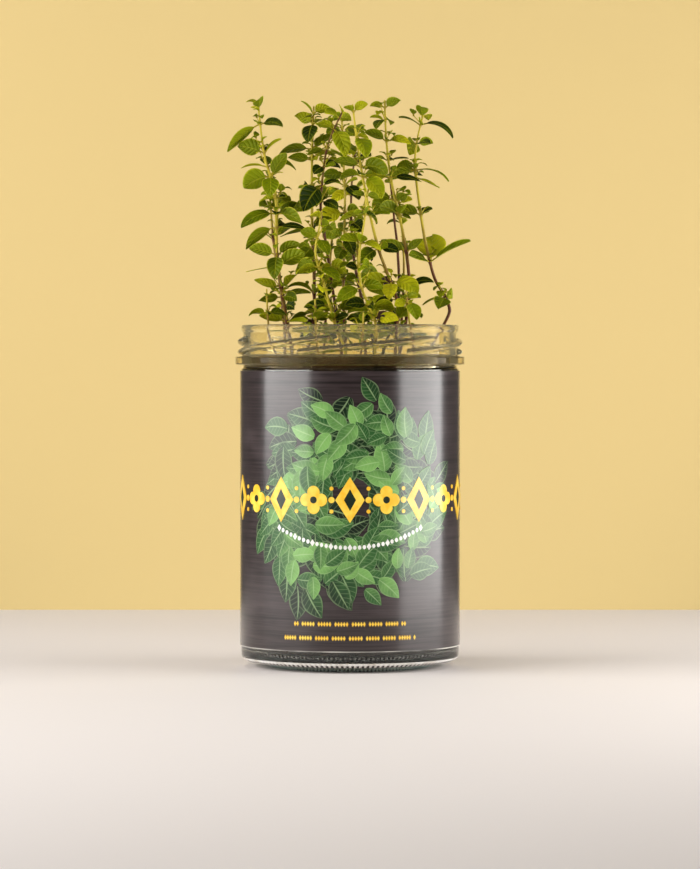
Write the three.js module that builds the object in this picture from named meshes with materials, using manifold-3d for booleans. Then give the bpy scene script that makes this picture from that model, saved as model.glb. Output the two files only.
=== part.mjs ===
// An oregano plant that grows in a straight-sided glass preserving jar with a printed paper label round it.
// Millimetres, +Z up. The origin is the centre of the jar's foot, on the surface that the jar stands on, and
// -Y is the front. Each leafy stem is one solid that stands in a plain hole in the soil.
import * as THREE from "three";
import { mergeVertices } from "three/addons/utils/BufferGeometryUtils.js";
import Module from "manifold-3d";

const wasm = await Module();
wasm.setup();

// ---------------------------------------------------------------- driving sizes

const SIDES = 48; // facets round the jar, its soil and its label
const JAR_RADIUS = 41;
const JAR_HEIGHT = 128.5;
const BORE_RADIUS = 37.8; // the wall is straight inside, so that the contents turn out
const FLOOR_TOP = 4.6; // inside of the thick glass bottom
const FOOT_RADIUS = 30.3;
const FOOT_INNER_RADIUS = 24;
const FOOT_HEIGHT = 1.8;
const PUNT_TOP = 2; // the hollow under the bottom
const HEEL_TOP = 4.6;
const COLLAR_BOTTOM = 113.3;
const COLLAR_TOP = 116.8;
const COLLAR_RADIUS = 43.2;
const NECK_RADIUS = 40.3;
const LIP_RADIUS = 40.9;
const LIP_BOTTOM = 125.7;

const THREADS = 6; // starts of the twist-off finish
const THREAD_FIRST = 243; // compass degrees of a thread's lower end, from +X towards +Y
const THREAD_TURN = 75; // degrees that one thread covers
const THREAD_STEPS = 5;
const THREAD_LOW = 118.3; // height of a thread's lower end
const THREAD_RISE = 4.9;
const THREAD_RADIUS = 42.4;

const LABEL_BOTTOM = 8;
const LABEL_TOP = 111.3;
const LABEL_GAP = 0.12; // glue between label and glass
const LABEL_THICKNESS = 0.3;
const LABEL_SEAM = 1; // the label's two ends stop short of each other at the back

const SOIL_TOP = 117;
const SOIL_GAP = 0.3;
const SOIL_BUMP = 0.9;
const ROOT_DEPTH = 8; // how deep a stem stands in the soil
const HOLE_GAP = 0.35;
const HOLE_SIDES = 6;

// ---------------------------------------------------------------- the plant, as driving values

// route: [height, x, y] points that the stem passes through, from the soil to its tip.
// radius: at the soil. turn: compass degrees of its lowest leaves. leaf: length of its longest leaves.
// whorls: where leaves grow. Each is a height, or [height, leaf, leaf...] with leaves that are set by hand,
// each as its tip x, y, z, its width, and the degrees that it bends down and that it rolls on the way there.
const STEMS = [
  {
    route: [[117, -21.7, -6], [129, -23.6, -7], [154, -27.3, -9], [177, -27.8, -10], [191, -31.8, -11],
      [212, -34.5, -12]],
    radius: 0.85, turn: 12, leaf: 10.5,
    whorls: [
      [129.5, [-34, -10, 132, 4.5, 20, 45], [-15.9, -12, 129.6, 3.8, 20, 30]],
      [138.8, [-34.2, -9, 137.4, 4.6, 15, 50], [-19.8, -12, 137.4, 4.2, 50, 60]],
      [142.6, [-35.8, -11, 145.2, 4.4, 5, 45], [-19.8, -8, 147.2, 4.8, 10, -40]],
      [150.2, [-38.9, -6, 148.3, 2.4, 10, 0]],
      [154.6, [-37.7, -9, 157, 5.8, 20, 55], [-28.1, -15, 145.3, 6, 40, 0],
        [-18.7, -12, 158.5, 4.6, 50, -50]],
      [164.8, [-39.1, -10, 156.6, 4.4, 50, 45], [-15.7, -10, 163.6, 3.8, 50, 30]],
      [169.8, [-40.6, -14, 164.5, 4.6, 60, -55], [-16.9, -13, 165.8, 5.6, 60, -60],
        [-17.8, -3, 172.4, 5, 40, -45]],
      [175.6, [-33.4, -12, 174.6, 3.2, 30, 20], [-24, -13, 175.9, 3, 40, 20]],
      [183.8, [-39.6, -11, 179.4, 8.6, 40, 65], [-29.6, -18, 175.9, 6.2, 50, 0],
        [-25.9, -17, 192.1, 5, 30, -35]],
      [187.4, [-41.2, -10, 187, 2.6, 40, 20], [-18.9, -5, 186.6, 4.8, 70, 30]],
      [192.6, [-41, -11, 197.6, 6.4, 30, 65], [-25.5, -13, 197.7, 3.6, 40, 35]],
      [203.2, [-45.8, -13, 193, 4.2, 30, 40], [-25, -15, 202, 5, 60, 40]],
    ],
  },
  {
    route: [[117, -24.6, 3], [129, -24.9, 4], [143, -26.2, 5], [160, -28.9, 6], [187, -31, 8]],
    radius: 0.65, turn: 100, leaf: 9,
    whorls: [135, [161, [-21.5, 3, 166, 4.6, 80, -40], [-34, 4, 163.6, 3, 20, -20]], 172.5],
  },
  {
    route: [[117, -27.3, -13], [121, -28.9, -13.5], [128, -30.4, -14], [142, -31.1, -15]],
    radius: 0.5, turn: 5, leaf: 6.6,
    whorls: [132.5],
  },
  {
    route: [[117, -16.1, 3], [129, -13.9, 3], [146, -13.5, 2], [164, -14.2, 1], [190, -14.3, 0],
      [211, -13.6, 0]],
    radius: 0.75, turn: 30, leaf: 10.5,
    whorls: [
      124,
      [130.5, [-23.4, 2, 129.9, 3.6, 20, 30], [-8, 2, 131.4, 3.4, 20, -40]],
      [140.4, [-23.8, 1, 142.3, 3.6, 90, 25], [-6.8, 0, 143.4, 4, 90, -30]],
      [149.5, [-20.4, -2, 147.4, 5, 40, -50]],
      [157.4, [-18.2, -7, 151.8, 5.8, 40, -45]],
      [164.4, [-26.3, 1, 161.6, 3, 20, 20], [-6.5, 3, 168.5, 4, 70, 40]],
      [178.5, [-16.8, -5, 183, 4.4, 30, -50]],
      [190.4, [-23.4, -1, 191.3, 3.8, 20, 60]],
      [194.4, [-27, 2, 192.2, 5, 55, 35]],
      [204, [-15.7, -7, 196.6, 6, 50, 0], [-21, 1, 207, 5, 50, 50]],
    ],
  },
  {
    route: [[117, -3.2, -3], [128, -4.4, -3], [143, -6.7, -3.5], [158, -8.9, -4], [172, -11, -4.5],
      [190, -9.5, -5], [198, -7.6, -5.5], [209, -2.5, -6]],
    radius: 0.65, turn: 60, leaf: 10.5,
    whorls: [
      126.5,
      133.6,
      [143.6, [-11.4, -9, 137.9, 4.6, 30, -45]],
      [149.6, [-17.2, -6, 148.6, 4.6, 60, 40]],
      163.2,
      [174.6, [-4.4, -9, 171.8, 4.4, 40, 45]],
      [180.3, [-17.2, -11, 170.8, 8.6, 40, -50], [-3.6, -6, 182, 3.4, 50, 30]],
      [187.6, [-13.6, -9, 184.8, 4.2, 40, -45], [-3.6, 0, 187.4, 3.8, 60, 40]],
      [193.6, [-1.4, -3, 190.2, 3.4, 40, 20], [-16.2, -6, 191.9, 3.2, 60, 30]],
      [201.6, [0, -13, 190.9, 6, 50, 20], [-13.5, -4, 203.5, 4, 60, 30]],
    ],
  },
  {
    route: [[117, -1.7, -14], [129, -5.7, -15], [143, -9.5, -16], [155, -12.8, -16.5], [163, -11.7, -17],
      [171, -10.5, -17]],
    radius: 0.6, turn: 15, leaf: 9.5,
    whorls: [
      124.5,
      [130, [-0.6, -19, 131.6, 4.6, 20, 35]],
      [135.6, [-17.2, -17, 134.8, 4, 20, -60]],
      141.5,
      [149.8, [-4, -22, 144.2, 6, 35, 15], [-20, -18, 147.5, 4.4, 45, 30]],
      [160.5, [-8.1, -22, 154, 5, 40, 10], [-18.5, -19, 163, 4.6, 50, 45]],
    ],
  },
  {
    route: [[117, -1.7, 12], [138, -2.5, 12], [151, -2.4, 12.5], [175, -1.9, 13], [190, -2.4, 13],
      [209, -3.2, 14]],
    radius: 0.6, turn: 80, leaf: 10,
    whorls: [
      123,
      132,
      145.5,
      [157.5, [-5, 6, 152.6, 5.2, 40, -40]],
      [162, [1.4, 6, 154.8, 4.8, 40, 40]],
      170.8,
      [181.4, [3.4, 9, 175.8, 6.2, 40, 30]],
      [185.4, [-10.2, 8, 184.9, 4.6, 20, -60]],
      193,
      201.5,
    ],
  },
  {
    route: [[117, 16.9, -7], [127, 17.4, -7.5], [136, 18, -8], [148, 13.9, -9], [156, 10.9, -9.5],
      [171, 7.2, -10], [191, 3.5, -10], [211, 0.9, -10]],
    radius: 0.7, turn: 40, leaf: 10.5,
    whorls: [
      123.5,
      130.5,
      [137.8, [9.2, -12, 134.8, 4.2, 50, -50]],
      [144.2, [3.6, -10, 144.2, 6.6, 30, 60], [14.5, -16, 137.8, 5.6, 40, 0]],
      [156.6, [3.8, -14, 150.8, 5.6, 40, -45], [18.2, -10, 155.5, 4.8, 50, 55]],
      [169.4, [-3.8, -12, 167.4, 4, 55, 25], [15, -12, 169.8, 4, 20, 30]],
      [183.7, [11.8, -13, 175.2, 6, 50, 50]],
      [187.3, [-5.9, -11, 189.6, 4, 40, 50]],
      [198.6, [5.9, -16, 190.4, 6.2, 50, 0]],
    ],
  },
  {
    route: [[117, 18.7, 0], [121, 19.5, 0], [130, 21.1, -1], [142, 22.3, -2], [154, 21.4, -2],
      [165, 19.5, -2.5], [181, 15.8, -3], [197, 13.7, -3], [213, 13, -3]],
    radius: 0.75, turn: 0, leaf: 10.5,
    whorls: [
      125,
      132.5,
      [142.4, [31.5, -4, 144.3, 3.8, 80, 50]],
      [155.9, [25.8, -4, 162.1, 3.2, 20, -40], [10.9, -4, 158.5, 5, 40, 60]],
      [169.8, [9.2, -5, 172.8, 5, 50, 50], [22.8, -3, 168.4, 3, 20, 20]],
      [174.8, [21.6, -5, 177.4, 4.4, 10, -30]],
      [183.8, [26.8, -5, 182, 4.2, 30, 35], [5.4, -2, 184.2, 5, 40, 40]],
      [190.2, [22, -5, 190.8, 3, 20, 20], [9, -5, 191.2, 3.4, 20, -20]],
      [197.4, [22.9, -4, 196.2, 3.8, 60, 40], [5.6, -3, 200.8, 4.4, 40, 40]],
      205,
    ],
  },
  {
    route: [[117, 12.6, 8], [127, 15.5, 8], [138, 18.4, 8], [157, 18, 8], [167, 16.9, 8], [185, 15, 8]],
    radius: 0.7, turn: 70, leaf: 9.5,
    whorls: [126.5, 175],
  },
  {
    route: [[117, 28.5, 2], [121, 31.1, 2], [126.6, 34.2, 1.5], [131.9, 37, 1], [134.6, 37.5, 1],
      [139.8, 35.5, 1], [144.7, 32.4, 0.5], [151.6, 30.2, 0], [161, 28.1, 0], [174, 26.1, 0], [188, 24.5, 0],
      [197, 25.1, 0], [209.6, 28, 0.4]],
    radius: 0.7, turn: 28, leaf: 11,
    whorls: [
      [138.6, [33.2, -7, 134.4, 6.2, 20, -20], [38.2, -3, 142.2, 2, 10, 30], [28.8, -4, 135.9, 2.4, 40, -20]],
      [152.2, [20.2, -8, 154.8, 5.6, 20, -50], [45.2, -5, 160.1, 4.8, 15, 35], [33, 9, 162.4, 11, 20, 0]],
      [169.8, [18.5, -3, 171, 4.6, 50, 50], [31, -4, 172, 3.2, 20, 40], [30, 5, 173, 3, 20, 20]],
      [183.8, [31.4, -7, 179.8, 3, 5, 10]],
      [186.6, [37.1, -2, 182.3, 3, 70, 5], [14.7, -3, 182.6, 5, 40, 45], [17.6, 5, 187, 6, 40, 45]],
      196.5,
      [203.6, [38.6, -2, 198.5, 3.6, 90, 30]],
    ],
  },
  {
    route: [[117, 9.2, 16], [124.6, 8.4, 16], [138.5, 4.5, 16], [148.5, 2.3, 16.5], [160, 0.9, 17],
      [179, 0.5, 18], [195, 2, 19]],
    radius: 0.65, turn: 20, leaf: 10,
    whorls: [
      124.5,
      135,
      147,
      [167.4, [4.8, 9, 163.8, 5.6, 30, 45]],
      178,
      [189.6, [8, 11, 192.4, 6.6, 40, 50]],
    ],
  },
  {
    route: [[117, 9.2, -18], [129, 9.5, -18.5], [136, 6.7, -19], [144, 3.9, -19.5], [156, 3.6, -20],
      [168, 5.5, -20], [179, 6, -20]],
    radius: 0.55, turn: 75, leaf: 9,
    whorls: [
      123,
      [129.8, [-1.6, -15, 130.4, 5, 30, -50]],
      [135.2, [-1.8, -22, 135.4, 4.8, 50, -55]],
      [142, [-4.6, -24, 136.6, 5, 40, -45]],
      149,
      158.5,
      169,
    ],
  },
  {
    route: [[117, 23.5, -17], [121, 23.3, -17.5], [128, 22.3, -18], [141.4, 20.8, -18.5]],
    radius: 0.45, turn: 350, leaf: 7,
    whorls: [[136.6, [24.8, -22, 130.2, 5.6, 30, 20], [17, -21, 135.2, 3.4, 40, -50]]],
  },
  {
    route: [[117, 6, 26], [140, 4, 27], [160, 3, 26], [172, 4.8, 25.5], [184, 8.2, 25]],
    radius: 0.65, turn: 45, leaf: 10,
    whorls: [124, 131, 143.5, 156],
  },
  {
    route: [[117, -10, 18], [135, -9, 19], [160, -7, 20], [181, -4.6, 21]],
    radius: 0.6, turn: 120, leaf: 9.5,
    whorls: [123.5, 132, 145, 158],
  },
  {
    route: [[117, -12, -24], [126, -12.5, -24.5], [138, -13, -25]],
    radius: 0.45, turn: 20, leaf: 6,
    whorls: [123.5, 130.5],
  },
  {
    route: [[117, 4, -26], [124, 4.5, -26], [133, 5, -26.5]],
    radius: 0.45, turn: 60, leaf: 6,
    whorls: [124.5],
  },
  {
    route: [[117, 19, 19], [135, 20, 19.5], [155, 20.5, 20], [178, 18.5, 20]],
    radius: 0.6, turn: 10, leaf: 9.5,
    whorls: [125, 132.5, 157, 167.5],
  },
];

const DRAW_SEED = 20261; // of every random draw
const STEM_TIP_RADIUS = 0.34;
const WHORL_HALF = 0.42; // a leaf's root takes this much of the stem above and below its whorl
const TIP_WHORLS = [[3.1, 0.62], [1.1, 0.42]]; // the youngest leaves: depth below the tip, share of length
const SIDE_SHARE = 0.6; // the leaves between a whorl's main pair are this share of its length
const SIDE_ODDS = 0.62; // how often such a leaf grows
const WIDTH_SHARE = 0.58; // of a leaf, over its length
const BLADE_START = 0.15; // where the blade begins, as a share of the leaf's length
const STALK_HALF = 0.35;
const LEAF_THICKNESS = 0.8;
const LEAF_RINGS = [0.13, 0.38, 0.7]; // where a leaf has a ring of points, as shares of its length
const SMALL_RINGS = [0.17, 0.55]; // the same for a small leaf
const SMALL_LEAF = 6.2;
const STEEPEST = 68; // degrees that a leaf's root may lift

// How near a leaf may come to other leaves, to other stems, to the glass and to the soil.
const LEAF_CLEAR = 1.45;
const STEM_CLEAR = 1.1;
const GLASS_CLEAR = 1.3;
const SOIL_CLEAR = 2.4;
const REACH = 46.4; // no leaf goes further from the jar's axis than this, along X or Y

const radians = (degrees) => (degrees * Math.PI) / 180;
const degrees = (angle) => (angle * 180) / Math.PI;

// The Park-Miller generator: each call gives the next number from 0 to 1.
function makeDraw(seed) {
  let state = seed;
  return () => {
    state = (state * 48271) % 2147483647;
    return state / 2147483647;
  };
}

// Where a stem's axis is at height z: a smooth curve through its route, upright where it leaves the soil.
function axisAt(route, z) {
  if (z <= route[0][0]) return [route[0][1], route[0][2]];
  let i = 0;
  while (i < route.length - 2 && z > route[i + 1][0]) i += 1;
  const slope = (k, c) => {
    if (k === 0) return 0;
    const [a, b] = [route[k - 1], route[Math.min(k + 1, route.length - 1)]];
    return (b[c] - a[c]) / (b[0] - a[0]);
  };
  const span = route[i + 1][0] - route[i][0];
  const t = (z - route[i][0]) / span;
  const [t2, t3] = [t * t, t * t * t];
  return [1, 2].map(
    (c) =>
      (2 * t3 - 3 * t2 + 1) * route[i][c] +
      (t3 - 2 * t2 + t) * span * slope(i, c) +
      (3 * t2 - 2 * t3) * route[i + 1][c] +
      (t3 - t2) * span * slope(i + 1, c),
  );
}

const tipHeight = (stem) => stem.route[stem.route.length - 1][0];

function stemRadius(stem, z) {
  const share = Math.max(0, (z - SOIL_TOP) / (tipHeight(stem) - SOIL_TOP));
  return stem.radius + (STEM_TIP_RADIUS - stem.radius) * share * share;
}

// ---------------------------------------------------------------- leaves

// A leaf's half-width at a share t of its length: a stalk, then a broad egg-shaped blade.
function halfWidth(leaf, t) {
  if (t <= BLADE_START) return STALK_HALF;
  const u = (t - BLADE_START) / (1 - BLADE_START);
  return STALK_HALF * (1 - u) + (leaf.width / 2) * Math.pow(Math.sin(Math.PI * Math.pow(u, 0.8)), 0.72);
}

// The leaf's frame at a share t of its length: a point on its midrib, its side and its upper face's normal.
// The midrib leaves the stem at the angle lift and bends down by bend on its way to the tip.
function leafFrame(leaf, t) {
  const start = radians(leaf.lift);
  const bend = radians(leaf.bend);
  const now = start - bend * t;
  const reach = ((Math.sin(start) - Math.sin(now)) * leaf.length) / bend;
  const rise = ((Math.cos(now) - Math.cos(start)) * leaf.length) / bend;
  const roll = radians(leaf.roll) * Math.min(1, 4 * t);
  const [c, s] = [Math.cos(radians(leaf.turn)), Math.sin(radians(leaf.turn))];
  const flat = [-s, c, 0];
  const normal = [-c * Math.sin(now), -s * Math.sin(now), Math.cos(now)];
  return {
    point: [leaf.root[0] + c * reach, leaf.root[1] + s * reach, leaf.root[2] + rise],
    side: flat.map((f, i) => f * Math.cos(roll) + normal[i] * Math.sin(roll)),
    up: normal.map((n, i) => n * Math.cos(roll) - flat[i] * Math.sin(roll)),
  };
}

// A point of the leaf's middle surface: across runs from -1 at one edge to 1 at the other.
function leafPoint(leaf, t, across) {
  const f = leafFrame(leaf, t);
  const w = halfWidth(leaf, t);
  return f.point.map((p, i) => p + f.side[i] * across * w + f.up[i] * Math.abs(across) * w * leaf.fold);
}

const SAMPLE_LENGTHS = [0.22, 0.35, 0.48, 0.61, 0.74, 0.87, 1];
const SAMPLE_ACROSS = [-1, -0.5, 0, 0.5, 1];
const MIDDLE_SAMPLE = 17;
const FAR_APART = 20; // leaves whose middles are further apart than this can't meet

function leafSamples(leaf) {
  const points = [];
  for (const t of SAMPLE_LENGTHS) for (const v of SAMPLE_ACROSS) points.push([t, ...leafPoint(leaf, t, v)]);
  return points;
}

const gapSquared = (a, b) => (a[1] - b[1]) ** 2 + (a[2] - b[2]) ** 2 + (a[3] - b[3]) ** 2;

// True where a leaf clears the glass, the soil, every stem and every leaf placed so far.
function fits(samples, stem, placed) {
  for (const [t, x, y, z] of samples) {
    if (Math.abs(x) > REACH || Math.abs(y) > REACH || z < SOIL_TOP + SOIL_CLEAR) return false;
    if (z < JAR_HEIGHT + GLASS_CLEAR && Math.sqrt(x * x + y * y) > BORE_RADIUS - GLASS_CLEAR) return false;
    for (const other of STEMS) {
      if (z > tipHeight(other) + STEM_CLEAR || (other === stem && t < SAMPLE_LENGTHS[1])) continue;
      const [ax, ay] = axisAt(other.route, z);
      const near = stemRadius(other, z) + STEM_CLEAR;
      if ((x - ax) * (x - ax) + (y - ay) * (y - ay) < near * near) return false;
    }
  }
  for (const other of placed) {
    if (gapSquared(samples[MIDDLE_SAMPLE], other.samples[MIDDLE_SAMPLE]) > FAR_APART * FAR_APART) continue;
    for (const a of samples) {
      for (const b of other.samples) {
        if (other.stem === stem && Math.min(a[0], b[0]) < SAMPLE_LENGTHS[1]) continue;
        if (gapSquared(a, b) < LEAF_CLEAR * LEAF_CLEAR) return false;
      }
    }
  }
  return true;
}

// A leaf that would touch something is bent clear: these shares of its length, lifts and turns are tried.
const TURNS = [0, 12, -12, 24, -24, 36, -36, 48, -48];
const LIFTS = [0, 16, -16];
const SHARES = [1, 0.86, 0.72];

function placeLeaf(leaf, stem, placed) {
  for (const share of SHARES) {
    for (const lift of LIFTS) {
      for (const turn of TURNS) {
        const tried = {
          ...leaf,
          length: leaf.length * share,
          width: leaf.width * share,
          lift: Math.min(STEEPEST, leaf.lift + lift),
          turn: leaf.turn + turn,
        };
        const samples = leafSamples(tried);
        if (!fits(samples, stem, placed)) continue;
        placed.push({ ...tried, stem, samples });
        return placed[placed.length - 1];
      }
    }
  }
  return null;
}

// The middle of the stem's side that faces the compass direction turn.
function sideRoot(stem, z, turn) {
  const [x, y] = axisAt(stem.route, z);
  const out = stemRadius(stem, z) * Math.SQRT1_2;
  return [x + out * Math.cos(radians(turn)), y + out * Math.sin(radians(turn)), z];
}

// The compass direction from a stem's axis at height z to a leaf's tip.
function tipTurn(stem, z, tip) {
  const [x, y] = axisAt(stem.route, z);
  return degrees(Math.atan2(tip[1] - y, tip[0] - x));
}

// A leaf that is set by its tip: its turn, lift and length follow from where its root is.
function leafToTip(root, [x, y, z, width, bend, roll], fold) {
  const [dx, dy, dz] = [x - root[0], y - root[1], z - root[2]];
  const half = radians(bend) / 2;
  return {
    root,
    turn: degrees(Math.atan2(dy, dx)),
    lift: Math.min(STEEPEST, degrees(Math.atan2(dz, Math.sqrt(dx * dx + dy * dy))) + bend / 2),
    length: (Math.sqrt(dx * dx + dy * dy + dz * dz) * half) / Math.sin(half),
    width,
    bend,
    roll,
    fold,
  };
}

// Every whorl of a stem: its height, the compass direction of its first side, and room for four leaves.
function stemWhorls(stem, draw) {
  const tip = tipHeight(stem);
  let turn = stem.turn;
  const whorls = [...stem.whorls, ...TIP_WHORLS.map(([depth]) => tip - depth)].map((entry) => {
    const [z, ...set] = Array.isArray(entry) ? entry : [entry];
    const jitter = (draw() - 0.5) * 40;
    const first = set.length > 0 ? tipTurn(stem, z, set[0]) : turn + jitter;
    turn = first + 90;
    return { z, turn: first, set, leaves: [null, null, null, null] };
  });
  TIP_WHORLS.forEach(([, size], i) => {
    whorls[whorls.length - TIP_WHORLS.length + i].size = size;
  });
  return whorls;
}

// The free side of a whorl that faces a compass direction best.
function nearestSide(whorl, turn) {
  let [best, least] = [0, 999];
  whorl.leaves.forEach((leaf, side) => {
    const off = Math.abs(((((turn - whorl.turn - 90 * side) % 360) + 540) % 360) - 180);
    if (leaf === null && off < least) [best, least] = [side, off];
  });
  return best;
}

// A leaf by rule, on one side of a whorl: main leaves on sides 0 and 2, smaller ones between them.
function ruledLeaf(stem, whorl, side, draw) {
  const share = (whorl.z - SOIL_TOP) / (tipHeight(stem) - SOIL_TOP);
  const size = whorl.size ?? (0.8 + 0.9 * share * (1 - share)) * (side % 2 ? SIDE_SHARE : 1);
  const turn = whorl.turn + 90 * side;
  const length = stem.leaf * size * (0.86 + 0.28 * draw());
  const width = length * WIDTH_SHARE * (0.88 + 0.24 * draw());
  const lift = (whorl.size ? 52 : 30) + (side % 2 ? 14 : 0) + (draw() - 0.5) * 40;
  const bend = 30 + 60 * draw();
  const roll = (draw() - 0.5) * 120;
  const fold = 0.1 + 0.3 * draw();
  const root = sideRoot(stem, whorl.z, turn);
  const sway = (draw() - 0.5) * 30;
  return { root, turn: turn + sway, length, width, lift: Math.min(STEEPEST, lift), bend, roll, fold };
}

// Every whorl of every stem with its leaves: first the leaves set by hand, then the rest round them.
function growPlant() {
  const draw = makeDraw(DRAW_SEED);
  const placed = [];
  const plant = STEMS.map((stem) => ({ stem, whorls: stemWhorls(stem, draw) }));
  for (const { stem, whorls } of plant) {
    for (const whorl of whorls) {
      for (const spec of whorl.set) {
        const side = nearestSide(whorl, tipTurn(stem, whorl.z, spec));
        const root = sideRoot(stem, whorl.z, whorl.turn + 90 * side);
        whorl.leaves[side] = placeLeaf(leafToTip(root, spec, 0.1 + 0.3 * draw()), stem, placed);
      }
    }
  }
  for (const { stem, whorls } of plant) {
    for (const whorl of whorls) {
      for (const side of [0, 2, 1, 3]) {
        const leaf = ruledLeaf(stem, whorl, side, draw);
        const grows = draw() < SIDE_ODDS && !whorl.size;
        if (whorl.leaves[side] === null && (side % 2 === 0 || grows)) {
          whorl.leaves[side] = placeLeaf(leaf, stem, placed);
        }
      }
    }
  }
  return plant;
}

// ---------------------------------------------------------------- solids

// A closed mesh under construction: rings of points joined by bands of triangles that face out.
class Skin {
  points = [];
  faces = [];

  ring(points) {
    return points.map((p) => this.points.push(p) - 1);
  }

  // Joins two rings that run the same way round; sides in skip are left open.
  band(low, high, skip = []) {
    low.forEach((a, j) => {
      const k = (j + 1) % low.length;
      if (!skip.includes(j)) this.faces.push(a, low[k], high[k], a, high[k], high[j]);
    });
  }

  // Closes a ring to a point ahead of it.
  toPoint(ring, point) {
    const [tip] = this.ring([point]);
    ring.forEach((a, j) => this.faces.push(a, ring[(j + 1) % ring.length], tip));
  }

  // Closes the first ring of a run with a flat face.
  capBehind(ring) {
    for (let j = 1; j < ring.length - 1; j += 1) this.faces.push(ring[0], ring[j + 1], ring[j]);
  }

  // Closes the last ring of a run with a flat face.
  capAhead(ring) {
    for (let j = 1; j < ring.length - 1; j += 1) this.faces.push(ring[0], ring[j], ring[j + 1]);
  }

  geometry() {
    const geometry = new THREE.BufferGeometry();
    geometry.setAttribute("position", new THREE.Float32BufferAttribute(this.points.flat(), 3));
    geometry.setIndex(this.faces);
    return geometry;
  }
}

// A closed mesh through rings of points, flat at its first ring and at its last, or pointed there.
function loft(rings, apex) {
  const skin = new Skin();
  const placed = rings.map((ring) => skin.ring(ring));
  skin.capBehind(placed[0]);
  for (let i = 0; i < placed.length - 1; i += 1) skin.band(placed[i], placed[i + 1]);
  const last = placed[placed.length - 1];
  if (apex) skin.toPoint(last, apex);
  else skin.capAhead(last);
  return skin.geometry();
}

// A geometry as a manifold-3d solid.
function solidOf(geometry) {
  const bare = geometry.clone();
  bare.deleteAttribute("normal");
  bare.deleteAttribute("uv");
  const merged = mergeVertices(bare, 1e-4);
  return new wasm.Manifold(
    new wasm.Mesh({
      numProp: 3,
      vertProperties: merged.attributes.position.array,
      triVerts: new Uint32Array(merged.index.array),
    }),
  );
}

function geometryOf(solid) {
  const mesh = solid.getMesh();
  const geometry = new THREE.BufferGeometry();
  geometry.setAttribute("position", new THREE.BufferAttribute(new Float32Array(mesh.vertProperties), 3));
  geometry.setIndex(new THREE.BufferAttribute(new Uint32Array(mesh.triVerts), 1));
  return geometry;
}

// A profile of [radius, height] points turned about +Z.
function turned(profile) {
  const points = profile.map(([r, z]) => new THREE.Vector2(r, z));
  return new THREE.LatheGeometry(points, SIDES).rotateX(Math.PI / 2);
}

// ---------------------------------------------------------------- the jar

function jarBody() {
  return turned([
    [0, PUNT_TOP],
    [FOOT_INNER_RADIUS - 3, PUNT_TOP - 0.6],
    [FOOT_INNER_RADIUS, 0],
    [FOOT_RADIUS, 0],
    [FOOT_RADIUS + 0.5, FOOT_HEIGHT],
    [JAR_RADIUS - 2.4, FOOT_HEIGHT + 0.3],
    [JAR_RADIUS - 0.6, FOOT_HEIGHT + 1.4],
    [JAR_RADIUS, HEEL_TOP],
    [JAR_RADIUS, LABEL_TOP + 0.6],
    [NECK_RADIUS, COLLAR_BOTTOM - 1],
    [NECK_RADIUS, COLLAR_BOTTOM - 0.2],
    [COLLAR_RADIUS, COLLAR_BOTTOM + 0.5],
    [COLLAR_RADIUS, COLLAR_TOP - 0.5],
    [NECK_RADIUS, COLLAR_TOP + 0.2],
    [NECK_RADIUS, LIP_BOTTOM],
    [LIP_RADIUS, LIP_BOTTOM + 0.6],
    [LIP_RADIUS, JAR_HEIGHT - 0.8],
    [LIP_RADIUS - 0.8, JAR_HEIGHT],
    [BORE_RADIUS, JAR_HEIGHT],
    [BORE_RADIUS, FLOOR_TOP + 3],
    [BORE_RADIUS - 3, FLOOR_TOP],
    [0, FLOOR_TOP],
  ]);
}

// One thread: a low ridge that climbs round the neck and sinks into it at both ends.
function jarThread(index) {
  const rings = [];
  for (let k = 0; k <= THREAD_STEPS; k += 1) {
    const share = k / THREAD_STEPS;
    const angle = radians(THREAD_FIRST + (index * 360) / THREADS + share * THREAD_TURN);
    const z = THREAD_LOW + share * THREAD_RISE;
    const out = k % THREAD_STEPS === 0 ? NECK_RADIUS + 0.5 : THREAD_RADIUS;
    const at = (r, dz) => [r * Math.cos(angle), r * Math.sin(angle), z + dz];
    rings.push([at(NECK_RADIUS - 1, -1.2), at(NECK_RADIUS - 1, 1.2), at(out, 0.4), at(out, -0.4)]);
  }
  return loft(rings);
}

function makeJar() {
  let jar = solidOf(jarBody());
  for (let i = 0; i < THREADS; i += 1) jar = jar.add(solidOf(jarThread(i)));
  return geometryOf(jar);
}

// ---------------------------------------------------------------- the label

// A band round the jar, open by the width of its seam at the back, its facets in line with the jar's.
function makeLabel() {
  const inner = JAR_RADIUS + LABEL_GAP;
  const outer = inner + LABEL_THICKNESS;
  const step = (2 * Math.PI) / SIDES;
  const seam = LABEL_SEAM / 2 / outer;
  // The seam's ends lie on the flat of their facet.
  const at = (radius, angle, z) => {
    const onEnd = angle < step || angle > 2 * Math.PI - step;
    const r = onEnd ? (radius * Math.cos(step / 2)) / Math.cos(step / 2 - seam) : radius;
    return [-r * Math.sin(angle), r * Math.cos(angle), z];
  };
  const angles = [seam];
  for (let k = 1; k < SIDES; k += 1) angles.push(k * step);
  angles.push(2 * Math.PI - seam);
  const section = [[inner, LABEL_BOTTOM], [inner, LABEL_TOP], [outer, LABEL_TOP], [outer, LABEL_BOTTOM]];
  return loft(angles.map((a) => section.map(([r, z]) => at(r, a, z))));
}

// ---------------------------------------------------------------- the soil

const soilHeight = (x, y) =>
  SOIL_TOP +
  SOIL_BUMP * 0.6 * Math.sin(x * 0.31 + 1.3) * Math.cos(y * 0.27) +
  SOIL_BUMP * 0.4 * Math.sin(x * 0.83 - y * 0.71);

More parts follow.
